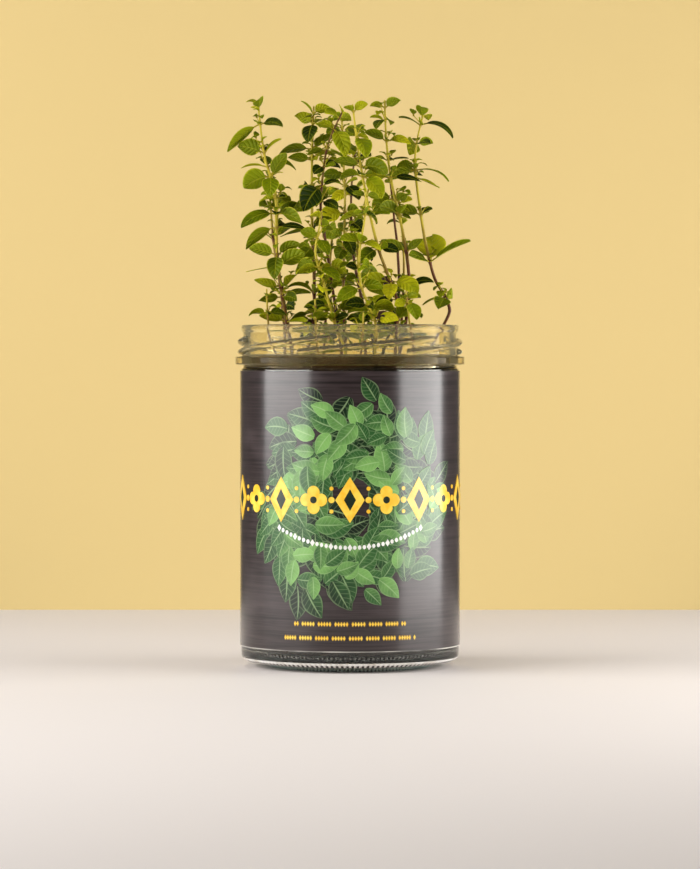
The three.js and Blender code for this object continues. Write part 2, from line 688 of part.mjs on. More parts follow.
function soilBody() {
  const radius = BORE_RADIUS - SOIL_GAP;
  const around = (r, height) => {
    const ring = [];
    for (let k = 0; k < SIDES; k += 1) {
      const a = (k * 2 * Math.PI) / SIDES;
      const [x, y] = [r * Math.cos(a), r * Math.sin(a)];
      ring.push([x, y, height(x, y)]);
    }
    return ring;
  };
  const floor = FLOOR_TOP + SOIL_GAP;
  const rings = [around(radius - 3, () => floor), around(radius, () => floor + 3)];
  for (const share of [1, 0.7, 0.35]) rings.push(around(radius * share, soilHeight));
  return loft(rings, [0, 0, soilHeight(0, 0)]);
}

// The hole that a stem stands in, a little wider and deeper than the stem.
function stemHole(stem) {
  const radius = (stem.radius + HOLE_GAP) / Math.cos(Math.PI / HOLE_SIDES);
  const [bottom, top] = [SOIL_TOP - ROOT_DEPTH - HOLE_GAP, SOIL_TOP + 3];
  const hole = new THREE.CylinderGeometry(radius, radius, top - bottom, HOLE_SIDES);
  return hole.rotateX(Math.PI / 2).translate(stem.route[0][1], stem.route[0][2], (top + bottom) / 2);
}

function makeSoil() {
  let soil = solidOf(soilBody());
  for (const stem of STEMS) soil = soil.subtract(solidOf(stemHole(stem)));
  return geometryOf(soil);
}

// ---------------------------------------------------------------- the leafy stems

const STEM_STEP = 9; // the most height between a stem's rings

// The levels of a stem's rings, from the root to the tip. A level's leaves grow between it and the next one.
function stemLevels(stem, whorls) {
  const levels = [{ z: SOIL_TOP - ROOT_DEPTH, turn: stem.turn }, { z: SOIL_TOP + 1.2, turn: stem.turn }];
  for (const whorl of whorls) {
    if (whorl.leaves.every((leaf) => leaf === null)) continue;
    const last = levels[levels.length - 1];
    // The square stem twists by the smaller way round to turn a side to the whorl's first leaf.
    const quarters = Math.round((last.turn - whorl.turn) / 90);
    const turn = whorl.turn + 90 * quarters;
    const gap = whorl.z - WHORL_HALF - last.z;
    const fills = Math.floor(gap / STEM_STEP);
    for (let k = 1; k <= fills; k += 1) {
      const share = k / (fills + 1);
      levels.push({ z: last.z + gap * share, turn: last.turn + (turn - last.turn) * share });
    }
    const leaves = whorl.leaves.map((_, j) => whorl.leaves[(((j + quarters) % 4) + 4) % 4]);
    levels.push({ z: whorl.z - WHORL_HALF, turn, leaves }, { z: whorl.z + WHORL_HALF, turn });
  }
  return levels;
}

// A leaf's ring of points at a share t of its length: thick along its rib and sharp at its edges.
function leafRing(leaf, t) {
  const f = leafFrame(leaf, t);
  const onRib = (h) => f.point.map((p, i) => p + f.up[i] * h);
  const half = LEAF_THICKNESS / 2;
  return [leafPoint(leaf, t, -1), onRib(-half), leafPoint(leaf, t, 1), onRib(half)];
}

// A square stem, as oregano's is, that tapers to its tip. Each leaf grows out of one of its sides.
function makeLeafyStem({ stem, whorls }) {
  const skin = new Skin();
  const levels = stemLevels(stem, whorls);
  const rings = levels.map(({ z, turn }) => {
    const [x, y] = axisAt(stem.route, z);
    const r = stemRadius(stem, z);
    const corners = [-45, 45, 135, 225].map((a) => radians(turn + a));
    return skin.ring(corners.map((a) => [x + r * Math.cos(a), y + r * Math.sin(a), z]));
  });
  skin.capBehind(rings[0]);
  rings.slice(1).forEach((high, i) => {
    const low = rings[i];
    const leaves = levels[i].leaves ?? [];
    skin.band(low, high, [0, 1, 2, 3].filter((j) => leaves[j]));
    leaves.forEach((leaf, j) => {
      if (!leaf) return;
      const k = (j + 1) % 4;
      let last = [low[j], low[k], high[k], high[j]];
      for (const t of leaf.length < SMALL_LEAF ? SMALL_RINGS : LEAF_RINGS) {
        const ring = skin.ring(leafRing(leaf, t));
        skin.band(last, ring);
        last = ring;
      }
      skin.toPoint(last, leafPoint(leaf, 1, 0));
    });
  });
  const top = tipHeight(stem);
  skin.toPoint(rings[rings.length - 1], [...axisAt(stem.route, top), top]);
  return skin.geometry();
}

// ---------------------------------------------------------------- the object

const GLASS = new THREE.MeshStandardMaterial({
  color: 0xdfe8e2,
  roughness: 0.05,
  metalness: 0,
  transparent: true,
  opacity: 0.35,
});
const PRINT = new THREE.MeshStandardMaterial({ color: 0x3a3536, roughness: 0.35, metalness: 0 });
const SOIL = new THREE.MeshStandardMaterial({ color: 0x2c2018, roughness: 1, metalness: 0 });
const LEAF = new THREE.MeshStandardMaterial({ color: 0x557a24, roughness: 0.6, metalness: 0 });

const object = new THREE.Group();

function addPiece(name, geometry, material) {
  const flat = geometry.toNonIndexed();
  flat.computeVertexNormals();
  const mesh = new THREE.Mesh(flat, material);
  mesh.name = name;
  object.add(mesh);
}

addPiece("glass_jar", makeJar(), GLASS);
addPiece("paper_label", makeLabel(), PRINT);
addPiece("potting_soil", makeSoil(), SOIL);
growPlant().forEach((grown, index) => {
  addPiece(`leafy_stem_${String(index + 1).padStart(2, "0")}`, makeLeafyStem(grown), LEAF);
});

export default object;
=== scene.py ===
"""The looks of an oregano plant in a glass jar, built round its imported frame.

Shapes are worked out in millimetres, in the frame's axes: +Z up, -Y to the front of the label.
make_piece turns them into metres. The plant grows by the same rule as the frame's leafy stems, so each
fine stem lies where its plain one does, and the small shoots in the leaves' axils are added to it.
"""

import math
from dataclasses import dataclass, replace

import bpy
import numpy as np
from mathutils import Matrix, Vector


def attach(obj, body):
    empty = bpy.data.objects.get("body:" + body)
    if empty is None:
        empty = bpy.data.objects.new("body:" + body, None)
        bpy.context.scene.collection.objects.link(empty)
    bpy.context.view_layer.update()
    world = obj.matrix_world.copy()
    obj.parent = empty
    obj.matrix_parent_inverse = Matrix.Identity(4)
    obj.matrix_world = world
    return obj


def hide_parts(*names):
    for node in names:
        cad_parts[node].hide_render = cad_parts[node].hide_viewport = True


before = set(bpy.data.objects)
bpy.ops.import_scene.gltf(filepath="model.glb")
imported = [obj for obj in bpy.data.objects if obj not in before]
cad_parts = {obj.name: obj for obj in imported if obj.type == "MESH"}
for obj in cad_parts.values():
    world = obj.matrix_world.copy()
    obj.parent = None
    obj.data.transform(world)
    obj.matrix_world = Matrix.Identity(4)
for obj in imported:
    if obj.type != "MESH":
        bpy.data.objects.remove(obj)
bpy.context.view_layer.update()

MM = 0.001

# ---- the jar's, the label's and the soil's sizes, as in the frame's source

JAR_RADIUS = 41.0
JAR_HEIGHT = 128.5
BORE_RADIUS = 37.8
FLOOR_TOP = 4.6
FOOT_RADIUS = 30.3
FOOT_INNER_RADIUS = 24.0
FOOT_HEIGHT = 1.8
PUNT_TOP = 2.0
HEEL_TOP = 4.6
COLLAR_BOTTOM = 113.3
COLLAR_TOP = 116.8
COLLAR_RADIUS = 43.2
NECK_RADIUS = 40.3
LIP_RADIUS = 40.9
LIP_BOTTOM = 125.7

THREADS = 6
THREAD_FIRST = 243.0  # compass direction of the first thread's lower end
THREAD_TURN = 75.0
THREAD_LOW = 118.3
THREAD_RISE = 4.9
THREAD_RADIUS = 42.4

LABEL_BOTTOM = 8.0
LABEL_TOP = 111.3
LABEL_GAP = 0.12
LABEL_THICKNESS = 0.3
LABEL_SEAM = 1.0
LABEL_RADIUS = JAR_RADIUS + LABEL_GAP + LABEL_THICKNESS

SOIL_TOP = 117.0
SOIL_GAP = 0.3
SOIL_BUMP = 0.9
ROOT_DEPTH = 8.0

# ---- the plant, as driving values

# radius: at the soil. turn: compass degrees of its lowest leaves. leaf: length of its longest leaves.
# bark: how brown it is at the soil and at its tip. 0 is yellow-green, 1 red-brown and 2 nearly black.
# route: [height, x, y] points that the stem passes through, from the soil to its tip.
# whorls: where leaves grow. Each is a height, or [height, leaf, leaf...] with leaves listed one by one,
# each as its tip x, y, z, its width, and the degrees that it bends down and that it rolls on the way
# there.
STEMS = [
    dict(
        radius=0.85, turn=12, leaf=10.5, bark=(0.75, 0),
        route=[[117, -21.7, -6], [129, -23.6, -7], [154, -27.3, -9], [177, -27.8, -10],
               [191, -31.8, -11], [212, -34.5, -12]],
        whorls=[
            [129.5, [-34, -10, 132, 4.5, 20, 45], [-15.9, -12, 129.6, 3.8, 20, 30]],
            [138.8, [-34.2, -9, 137.4, 4.6, 15, 50], [-19.8, -12, 137.4, 4.2, 50, 60]],
            [142.6, [-35.8, -11, 145.2, 4.4, 5, 45], [-19.8, -8, 147.2, 4.8, 10, -40]],
            [150.2, [-38.9, -6, 148.3, 2.4, 10, 0]],
            [154.6, [-37.7, -9, 157, 5.8, 20, 55], [-28.1, -15, 145.3, 6, 40, 0],
             [-18.7, -12, 158.5, 4.6, 50, -50]],
            [164.8, [-39.1, -10, 156.6, 4.4, 50, 45], [-15.7, -10, 163.6, 3.8, 50, 30]],
            [169.8, [-40.6, -14, 164.5, 4.6, 60, -55], [-16.9, -13, 165.8, 5.6, 60, -60],
             [-17.8, -3, 172.4, 5, 40, -45]],
            [175.6, [-33.4, -12, 174.6, 3.2, 30, 20], [-24, -13, 175.9, 3, 40, 20]],
            [183.8, [-39.6, -11, 179.4, 8.6, 40, 65], [-29.6, -18, 175.9, 6.2, 50, 0],
             [-25.9, -17, 192.1, 5, 30, -35]],
            [187.4, [-41.2, -10, 187, 2.6, 40, 20], [-18.9, -5, 186.6, 4.8, 70, 30]],
            [192.6, [-41, -11, 197.6, 6.4, 30, 65], [-25.5, -13, 197.7, 3.6, 40, 35]],
            [203.2, [-45.8, -13, 193, 4.2, 30, 40], [-25, -15, 202, 5, 60, 40]],
        ],
    ),
    dict(
        radius=0.65, turn=100, leaf=9, bark=(0.9, 0.5),
        route=[[117, -24.6, 3], [129, -24.9, 4], [143, -26.2, 5], [160, -28.9, 6], [187, -31, 8]],
        whorls=[135, [161, [-21.5, 3, 166, 4.6, 80, -40], [-34, 4, 163.6, 3, 20, -20]], 172.5],
    ),
    dict(
        radius=0.5, turn=5, leaf=6.6, bark=(0.9, 0.4),
        route=[[117, -27.3, -13], [121, -28.9, -13.5], [128, -30.4, -14], [142, -31.1, -15]],
        whorls=[132.5],
    ),
    dict(
        radius=0.75, turn=30, leaf=10.5, bark=(1.1, 0.1),
        route=[[117, -16.1, 3], [129, -13.9, 3], [146, -13.5, 2], [164, -14.2, 1], [190, -14.3, 0],
               [211, -13.6, 0]],
        whorls=[
            124,
            [130.5, [-23.4, 2, 129.9, 3.6, 20, 30], [-8, 2, 131.4, 3.4, 20, -40]],
            [140.4, [-23.8, 1, 142.3, 3.6, 90, 25], [-6.8, 0, 143.4, 4, 90, -30]],
            [149.5, [-20.4, -2, 147.4, 5, 40, -50]],
            [157.4, [-18.2, -7, 151.8, 5.8, 40, -45]],
            [164.4, [-26.3, 1, 161.6, 3, 20, 20], [-6.5, 3, 168.5, 4, 70, 40]],
            [178.5, [-16.8, -5, 183, 4.4, 30, -50]],
            [190.4, [-23.4, -1, 191.3, 3.8, 20, 60]],
            [194.4, [-27, 2, 192.2, 5, 55, 35]],
            [204, [-15.7, -7, 196.6, 6, 50, 0], [-21, 1, 207, 5, 50, 50]],
        ],
    ),
    dict(
        radius=0.65, turn=60, leaf=10.5, bark=(1.2, 0.75),
        route=[[117, -3.2, -3], [128, -4.4, -3], [143, -6.7, -3.5], [158, -8.9, -4], [172, -11, -4.5],
               [190, -9.5, -5], [198, -7.6, -5.5], [209, -2.5, -6]],
        whorls=[
            126.5, 133.6,
            [143.6, [-11.4, -9, 137.9, 4.6, 30, -45]],
            [149.6, [-17.2, -6, 148.6, 4.6, 60, 40]],
            163.2,
            [174.6, [-4.4, -9, 171.8, 4.4, 40, 45]],
            [180.3, [-17.2, -11, 170.8, 8.6, 40, -50], [-3.6, -6, 182, 3.4, 50, 30]],
            [187.6, [-13.6, -9, 184.8, 4.2, 40, -45], [-3.6, 0, 187.4, 3.8, 60, 40]],
            [193.6, [-1.4, -3, 190.2, 3.4, 40, 20], [-16.2, -6, 191.9, 3.2, 60, 30]],
            [201.6, [0, -13, 190.9, 6, 50, 20], [-13.5, -4, 203.5, 4, 60, 30]],
        ],
    ),
    dict(
        radius=0.6, turn=15, leaf=9.5, bark=(0.1, 0),
        route=[[117, -1.7, -14], [129, -5.7, -15], [143, -9.5, -16], [155, -12.8, -16.5],
               [163, -11.7, -17], [171, -10.5, -17]],
        whorls=[
            124.5,
            [130, [-0.6, -19, 131.6, 4.6, 20, 35]],
            [135.6, [-17.2, -17, 134.8, 4, 20, -60]],
            141.5,
            [149.8, [-4, -22, 144.2, 6, 35, 15], [-20, -18, 147.5, 4.4, 45, 30]],
            [160.5, [-8.1, -22, 154, 5, 40, 10], [-18.5, -19, 163, 4.6, 50, 45]],
        ],
    ),
    dict(
        radius=0.6, turn=80, leaf=10, bark=(0.8, 0.2),
        route=[[117, -1.7, 12], [138, -2.5, 12], [151, -2.4, 12.5], [175, -1.9, 13], [190, -2.4, 13],
               [209, -3.2, 14]],
        whorls=[
            123, 132, 145.5,
            [157.5, [-5, 6, 152.6, 5.2, 40, -40]],
            [162, [1.4, 6, 154.8, 4.8, 40, 40]],
            170.8,
            [181.4, [3.4, 9, 175.8, 6.2, 40, 30]],
            [185.4, [-10.2, 8, 184.9, 4.6, 20, -60]],
            193, 201.5,
        ],
    ),
    dict(
        radius=0.7, turn=40, leaf=10.5, bark=(0.95, 0.05),
        route=[[117, 16.9, -7], [127, 17.4, -7.5], [136, 18, -8], [148, 13.9, -9], [156, 10.9, -9.5],
               [171, 7.2, -10], [191, 3.5, -10], [211, 0.9, -10]],
        whorls=[
            123.5, 130.5,
            [137.8, [9.2, -12, 134.8, 4.2, 50, -50]],
            [144.2, [3.6, -10, 144.2, 6.6, 30, 60], [14.5, -16, 137.8, 5.6, 40, 0]],
            [156.6, [3.8, -14, 150.8, 5.6, 40, -45], [18.2, -10, 155.5, 4.8, 50, 55]],
            [169.4, [-3.8, -12, 167.4, 4, 55, 25], [15, -12, 169.8, 4, 20, 30]],
            [183.7, [11.8, -13, 175.2, 6, 50, 50]],
            [187.3, [-5.9, -11, 189.6, 4, 40, 50]],
            [198.6, [5.9, -16, 190.4, 6.2, 50, 0]],
        ],
    ),
    dict(
        radius=0.75, turn=0, leaf=10.5, bark=(1.2, 0.05),
        route=[[117, 18.7, 0], [121, 19.5, 0], [130, 21.1, -1], [142, 22.3, -2], [154, 21.4, -2],
               [165, 19.5, -2.5], [181, 15.8, -3], [197, 13.7, -3], [213, 13, -3]],
        whorls=[
            125, 132.5,
            [142.4, [31.5, -4, 144.3, 3.8, 80, 50]],
            [155.9, [25.8, -4, 162.1, 3.2, 20, -40], [10.9, -4, 158.5, 5, 40, 60]],
            [169.8, [9.2, -5, 172.8, 5, 50, 50], [22.8, -3, 168.4, 3, 20, 20]],
            [174.8, [21.6, -5, 177.4, 4.4, 10, -30]],
            [183.8, [26.8, -5, 182, 4.2, 30, 35], [5.4, -2, 184.2, 5, 40, 40]],
            [190.2, [22, -5, 190.8, 3, 20, 20], [9, -5, 191.2, 3.4, 20, -20]],
            [197.4, [22.9, -4, 196.2, 3.8, 60, 40], [5.6, -3, 200.8, 4.4, 40, 40]],
            205,
        ],
    ),
    dict(
        radius=0.7, turn=70, leaf=9.5, bark=(1.7, 0.9),
        route=[[117, 12.6, 8], [127, 15.5, 8], [138, 18.4, 8], [157, 18, 8], [167, 16.9, 8],
               [185, 15, 8]],
        whorls=[126.5, 175],
    ),
    dict(
        radius=0.7, turn=28, leaf=11, bark=(1.2, 0.1),
        route=[[117, 28.5, 2], [121, 31.1, 2], [126.6, 34.2, 1.5], [131.9, 37, 1], [134.6, 37.5, 1],
               [139.8, 35.5, 1], [144.7, 32.4, 0.5], [151.6, 30.2, 0], [161, 28.1, 0], [174, 26.1, 0],
               [188, 24.5, 0], [197, 25.1, 0], [209.6, 28, 0.4]],
        whorls=[
            [138.6, [33.2, -7, 134.4, 6.2, 20, -20], [38.2, -3, 142.2, 2, 10, 30],
             [28.8, -4, 135.9, 2.4, 40, -20]],
            [152.2, [20.2, -8, 154.8, 5.6, 20, -50], [45.2, -5, 160.1, 4.8, 15, 35],
             [33, 9, 162.4, 11, 20, 0]],
            [169.8, [18.5, -3, 171, 4.6, 50, 50], [31, -4, 172, 3.2, 20, 40], [30, 5, 173, 3, 20, 20]],
            [183.8, [31.4, -7, 179.8, 3, 5, 10]],
            [186.6, [37.1, -2, 182.3, 3, 70, 5], [14.7, -3, 182.6, 5, 40, 45],
             [17.6, 5, 187, 6, 40, 45]],
            196.5,
            [203.6, [38.6, -2, 198.5, 3.6, 90, 30]],
        ],
    ),
    dict(
        radius=0.65, turn=20, leaf=10, bark=(1.5, 0.8),
        route=[[117, 9.2, 16], [124.6, 8.4, 16], [138.5, 4.5, 16], [148.5, 2.3, 16.5], [160, 0.9, 17],
               [179, 0.5, 18], [195, 2, 19]],
        whorls=[
            124.5, 135, 147,
            [167.4, [4.8, 9, 163.8, 5.6, 30, 45]],
            178,
            [189.6, [8, 11, 192.4, 6.6, 40, 50]],
        ],
    ),
    dict(
        radius=0.55, turn=75, leaf=9, bark=(0.2, 0),
        route=[[117, 9.2, -18], [129, 9.5, -18.5], [136, 6.7, -19], [144, 3.9, -19.5], [156, 3.6, -20],
               [168, 5.5, -20], [179, 6, -20]],
        whorls=[
            123,
            [129.8, [-1.6, -15, 130.4, 5, 30, -50]],
            [135.2, [-1.8, -22, 135.4, 4.8, 50, -55]],
            [142, [-4.6, -24, 136.6, 5, 40, -45]],
            149, 158.5, 169,
        ],
    ),
    dict(
        radius=0.45, turn=350, leaf=7, bark=(0.9, 0.3),
        route=[[117, 23.5, -17], [121, 23.3, -17.5], [128, 22.3, -18], [141.4, 20.8, -18.5]],
        whorls=[[136.6, [24.8, -22, 130.2, 5.6, 30, 20], [17, -21, 135.2, 3.4, 40, -50]]],
    ),
    dict(
        radius=0.65, turn=45, leaf=10, bark=(0.9, 0.2),
        route=[[117, 6, 26], [140, 4, 27], [160, 3, 26], [172, 4.8, 25.5], [184, 8.2, 25]],
        whorls=[124, 131, 143.5, 156],
    ),
    dict(
        radius=0.6, turn=120, leaf=9.5, bark=(1, 0.3),
        route=[[117, -10, 18], [135, -9, 19], [160, -7, 20], [181, -4.6, 21]],
        whorls=[123.5, 132, 145, 158],
    ),
    dict(
        radius=0.45, turn=20, leaf=6, bark=(0.6, 0.3),
        route=[[117, -12, -24], [126, -12.5, -24.5], [138, -13, -25]],
        whorls=[123.5, 130.5],
    ),
    dict(
        radius=0.45, turn=60, leaf=6, bark=(0.6, 0.3),
        route=[[117, 4, -26], [124, 4.5, -26], [133, 5, -26.5]],
        whorls=[124.5],
    ),
    dict(
        radius=0.6, turn=10, leaf=9.5, bark=(1, 0.3),
        route=[[117, 19, 19], [135, 20, 19.5], [155, 20.5, 20], [178, 18.5, 20]],
        whorls=[125, 132.5, 157, 167.5],
    ),
]

DRAW_SEED = 20261
STEM_TIP_RADIUS = 0.34
TIP_WHORLS = [[3.1, 0.62], [1.1, 0.42]]  # how far each is below the stem's tip, and its leaves' size
SIDE_SHARE = 0.6  # size of the leaves between the main ones
SIDE_ODDS = 0.62  # how often one grows
WIDTH_SHARE = 0.58
BLADE_START = 0.15
STALK_HALF = 0.35
STEEPEST = 68.0

# How clear a leaf stays of other leaves, stems, the glass and the soil, and how far out it may reach.
LEAF_CLEAR = 1.45
STEM_CLEAR = 1.1
GLASS_CLEAR = 1.3
SOIL_CLEAR = 2.4
REACH = 46.4


# ---- the plant's rule, the same draw for draw as in the frame's source


def make_draw(seed):
    """The Park-Miller generator: each call of what it returns gives the next number from 0 to 1."""
    state = seed

    def draw():
        nonlocal state
        state = state * 48271 % 2147483647
        return state / 2147483647

    return draw


class Stem:
    """A stem's sizes and its axis, a smooth curve through its route."""

    def __init__(self, number, route, radius, turn, leaf, bark, whorls):
        self.number, self.radius, self.turn = number, radius, turn
        self.leaf, self.bark, self.set_whorls = leaf, bark, whorls
        self.heights = np.array([p[0] for p in route], float)
        self.places = np.array([p[1:] for p in route], float)
        self.tip = self.heights[-1]
        self.slopes = np.zeros_like(self.places)
        last = len(route) - 1
        for k in range(1, last + 1):
            b = min(k + 1, last)
            rise = self.heights[b] - self.heights[k - 1]
            self.slopes[k] = (self.places[b] - self.places[k - 1]) / rise

    def axis(self, z):
        """Where the axis is, in x and y, at height z or at each of several heights."""
        z = np.maximum(z, self.heights[0])
        i = np.searchsorted(self.heights[1:-1], z, side="left")
        span = self.heights[i + 1] - self.heights[i]
        t = (z - self.heights[i]) / span
        t, span = t[..., None], span[..., None]
        t2, t3 = t * t, t * t * t
        return (
            (2 * t3 - 3 * t2 + 1) * self.places[i]
            + (t3 - 2 * t2 + t) * span * self.slopes[i]
            + (3 * t2 - 2 * t3) * self.places[i + 1]
            + (t3 - t2) * span * self.slopes[i + 1]
        )

    def radius_at(self, z):
        share = np.maximum(0, (z - SOIL_TOP) / (self.tip - SOIL_TOP))
        return self.radius + (STEM_TIP_RADIUS - self.radius) * share * share

    def side_root(self, z, turn):
        """The middle of the stem's side that faces the compass direction turn."""
        x, y = self.axis(np.array(z))
        out = float(self.radius_at(z)) * math.sqrt(0.5)
        a = math.radians(turn)
        return np.array([x + out * math.cos(a), y + out * math.sin(a), z])

    def tip_turn(self, z, tip):
        """The compass direction from the axis at height z to a leaf's tip."""
        x, y = self.axis(np.array(z))
        return math.degrees(math.atan2(tip[1] - y, tip[0] - x))


@dataclass
class Leaf:
    """A leaf's root and its size, and in degrees where it points, lifts, bends down and rolls."""

    root: np.ndarray
    turn: float
    lift: float
    length: float
    width: float
    bend: float
    roll: float
    fold: float
    withered: bool = False


def half_width(leaf, t):
    """A leaf's half-width at shares t of its length: a stalk, then a broad egg-shaped blade."""
    u = np.clip((t - BLADE_START) / (1 - BLADE_START), 0, 1)
    blade = np.sin(np.pi * u**0.8).clip(0) ** 0.72
    return STALK_HALF * (1 - u) + leaf.width / 2 * blade


def leaf_frames(leaf, t):
    """The midrib's points at shares t of its length, with the blade's side and upper normal there."""
    start, bend = math.radians(leaf.lift), math.radians(leaf.bend)
    now = start - bend * t
    reach = (math.sin(start) - np.sin(now)) * leaf.length / bend
    rise = (np.cos(now) - math.cos(start)) * leaf.length / bend
    roll = (math.radians(leaf.roll) * np.minimum(1, 4 * t))[:, None]
    c, s = math.cos(math.radians(leaf.turn)), math.sin(math.radians(leaf.turn))
    flat = np.array([-s, c, 0])
    normal = np.stack([-c * np.sin(now), -s * np.sin(now), np.cos(now)], -1)
    point = leaf.root + np.stack([c * reach, s * reach, rise], -1)
    side = flat * np.cos(roll) + normal * np.sin(roll)
    return point, side, normal * np.cos(roll) - flat * np.sin(roll)


def leaf_points(leaf, t, across):
    """Points of the leaf's middle surface: across runs from -1 at one edge to 1 at the other."""
    point, side, up = (f[:, None, :] for f in leaf_frames(leaf, t))
    w = half_width(leaf, t)[:, None, None]
    a = np.asarray(across)[None, :, None]
    return point + side * a * w + up * np.abs(a) * w * leaf.fold


# The points of a leaf that have to be clear: shares of its length, each at places across it.
SAMPLE_LENGTHS = np.array([0.22, 0.35, 0.48, 0.61, 0.74, 0.87, 1])
SAMPLE_ACROSS = np.array([-1, -0.5, 0, 0.5, 1])
SAMPLE_SHARES = np.repeat(SAMPLE_LENGTHS, len(SAMPLE_ACROSS))
MIDDLE_SAMPLE = len(SAMPLE_SHARES) // 2
FAR_APART = 20.0
MOST_LEAVES = 4000


class Bush:
    """The stems and the leaves placed so far, which the next leaf has to clear."""

    def __init__(self, stems):
        self.stems = stems
        self.count = 0
        self.samples = np.zeros((MOST_LEAVES, len(SAMPLE_SHARES), 3))
        self.owners = np.zeros(MOST_LEAVES, int)
        self.sizes = np.zeros(MOST_LEAVES)

    def fits(self, leaf, points, owner, leaf_clear, stem_clear):
        xy, z = points[:, :2], points[:, 2]
        if np.abs(xy).max() > REACH or z.min() < SOIL_TOP + SOIL_CLEAR:
            return False
        low = z < JAR_HEIGHT + GLASS_CLEAR
        if low.any() and np.hypot(*xy[low].T).max() > BORE_RADIUS - GLASS_CLEAR:
            return False
        for stem in self.stems:
            near = z <= stem.tip + stem_clear
            if stem.number == owner:
                near &= SAMPLE_SHARES >= SAMPLE_LENGTHS[1]
            if not near.any():
                continue
            off = ((xy[near] - stem.axis(z[near])) ** 2).sum(1)
            if (off < (stem.radius_at(z[near]) + stem_clear) ** 2).any():
                return False
        return self.clears_leaves(leaf, points, owner, leaf_clear)

    def clears_leaves(self, leaf, points, owner, leaf_clear):
        placed = self.samples[: self.count]
        reach = (self.sizes[: self.count] + leaf.length) / 2 + 2 * LEAF_CLEAR
        far = np.minimum(FAR_APART, reach)
        off = ((placed[:, MIDDLE_SAMPLE] - points[MIDDLE_SAMPLE]) ** 2).sum(1)
        found = np.flatnonzero(off <= far * far)
        if not len(found):
            return True
        gaps = ((placed[found][:, None, :, :] - points[None, :, None, :]) ** 2).sum(3)
        near_roots = np.minimum(SAMPLE_SHARES[:, None], SAMPLE_SHARES[None, :]) < SAMPLE_LENGTHS[1]
        same = self.owners[found] == owner
        gaps[same[:, None, None] & near_roots[None]] = np.inf
        return gaps.min() >= leaf_clear * leaf_clear

    def place(self, leaf, owner, shares, lifts, turns, leaf_clear=LEAF_CLEAR, stem_clear=STEM_CLEAR):
        """The leaf with the first share of its length, lift and turn that keep it clear, or None."""
        for share in shares:
            for lift in lifts:
                for turn in turns:
                    tried = replace(
                        leaf,
                        length=leaf.length * share,
                        width=leaf.width * share,
                        lift=min(STEEPEST, leaf.lift + lift),
                        turn=leaf.turn + turn,
                    )
                    points = leaf_points(tried, SAMPLE_LENGTHS, SAMPLE_ACROSS).reshape(-1, 3)
                    if self.fits(tried, points, owner, leaf_clear, stem_clear):
                        self.samples[self.count] = points
                        self.owners[self.count] = owner
                        self.sizes[self.count] = tried.length
                        self.count += 1
                        return tried
        return None

    def place_main(self, leaf, owner):
        turns = [0, 12, -12, 24, -24, 36, -36, 48, -48]
        return self.place(leaf, owner, [1, 0.86, 0.72], [0, 16, -16], turns)


def leaf_to_tip(root, spec, fold):
    """A leaf that is set by its tip: its turn, lift and length follow from where its root is."""
    x, y, z, width, bend, roll = spec
    dx, dy, dz = x - root[0], y - root[1], z - root[2]
    half = math.radians(bend) / 2
    lift = math.degrees(math.atan2(dz, math.hypot(dx, dy))) + bend / 2
    length = math.sqrt(dx * dx + dy * dy + dz * dz) * half / math.sin(half)
    turn = math.degrees(math.atan2(dy, dx))
    return Leaf(root, turn, min(STEEPEST, lift), length, width, bend, roll, fold)


class Whorl:
    """A height on a stem with room for four leaves, on the sides that turn and quarter turns face."""

    def __init__(self, z, turn, leaf_specs, size=None):
        self.z, self.turn, self.leaf_specs, self.size = z, turn, leaf_specs, size
        self.leaves = [None] * 4

    def nearest_side(self, turn):
        """The free side that faces a compass direction best."""
        best, least = 0, 999
        for side, leaf in enumerate(self.leaves):
            off = abs((turn - self.turn - 90 * side + 540) % 360 - 180)
            if leaf is None and off < least:
                best, least = side, off
        return best


def stem_whorls(stem, draw):
    whorls, turn = [], stem.turn
    entries = stem.set_whorls + [stem.tip - depth for depth, _ in TIP_WHORLS]
    sizes = [None] * len(stem.set_whorls) + [size for _, size in TIP_WHORLS]
    for entry, size in zip(entries, sizes):
        z, *specs = entry if isinstance(entry, list) else [entry]
        jitter = (draw() - 0.5) * 40
        first = stem.tip_turn(z, specs[0]) if specs else turn + jitter
        turn = first + 90
        whorls.append(Whorl(z, first, specs, size))
    return whorls


def ruled_leaf(stem, whorl, side, draw):
    """A leaf by rule on one side of a whorl: main ones on sides 0 and 2, smaller ones between them."""
    share = (whorl.z - SOIL_TOP) / (stem.tip - SOIL_TOP)
    size = whorl.size or (0.8 + 0.9 * share * (1 - share)) * (SIDE_SHARE if side % 2 else 1)
    turn = whorl.turn + 90 * side
    length = stem.leaf * size * (0.86 + 0.28 * draw())
    width = length * WIDTH_SHARE * (0.88 + 0.24 * draw())
    lift = (52 if whorl.size else 30) + (14 if side % 2 else 0) + (draw() - 0.5) * 40
    bend = 30 + 60 * draw()
    roll = (draw() - 0.5) * 120
    fold = 0.1 + 0.3 * draw()
    sway = (draw() - 0.5) * 30
    root = stem.side_root(whorl.z, turn)
    return Leaf(root, turn + sway, min(STEEPEST, lift), length, width, bend, roll, fold)


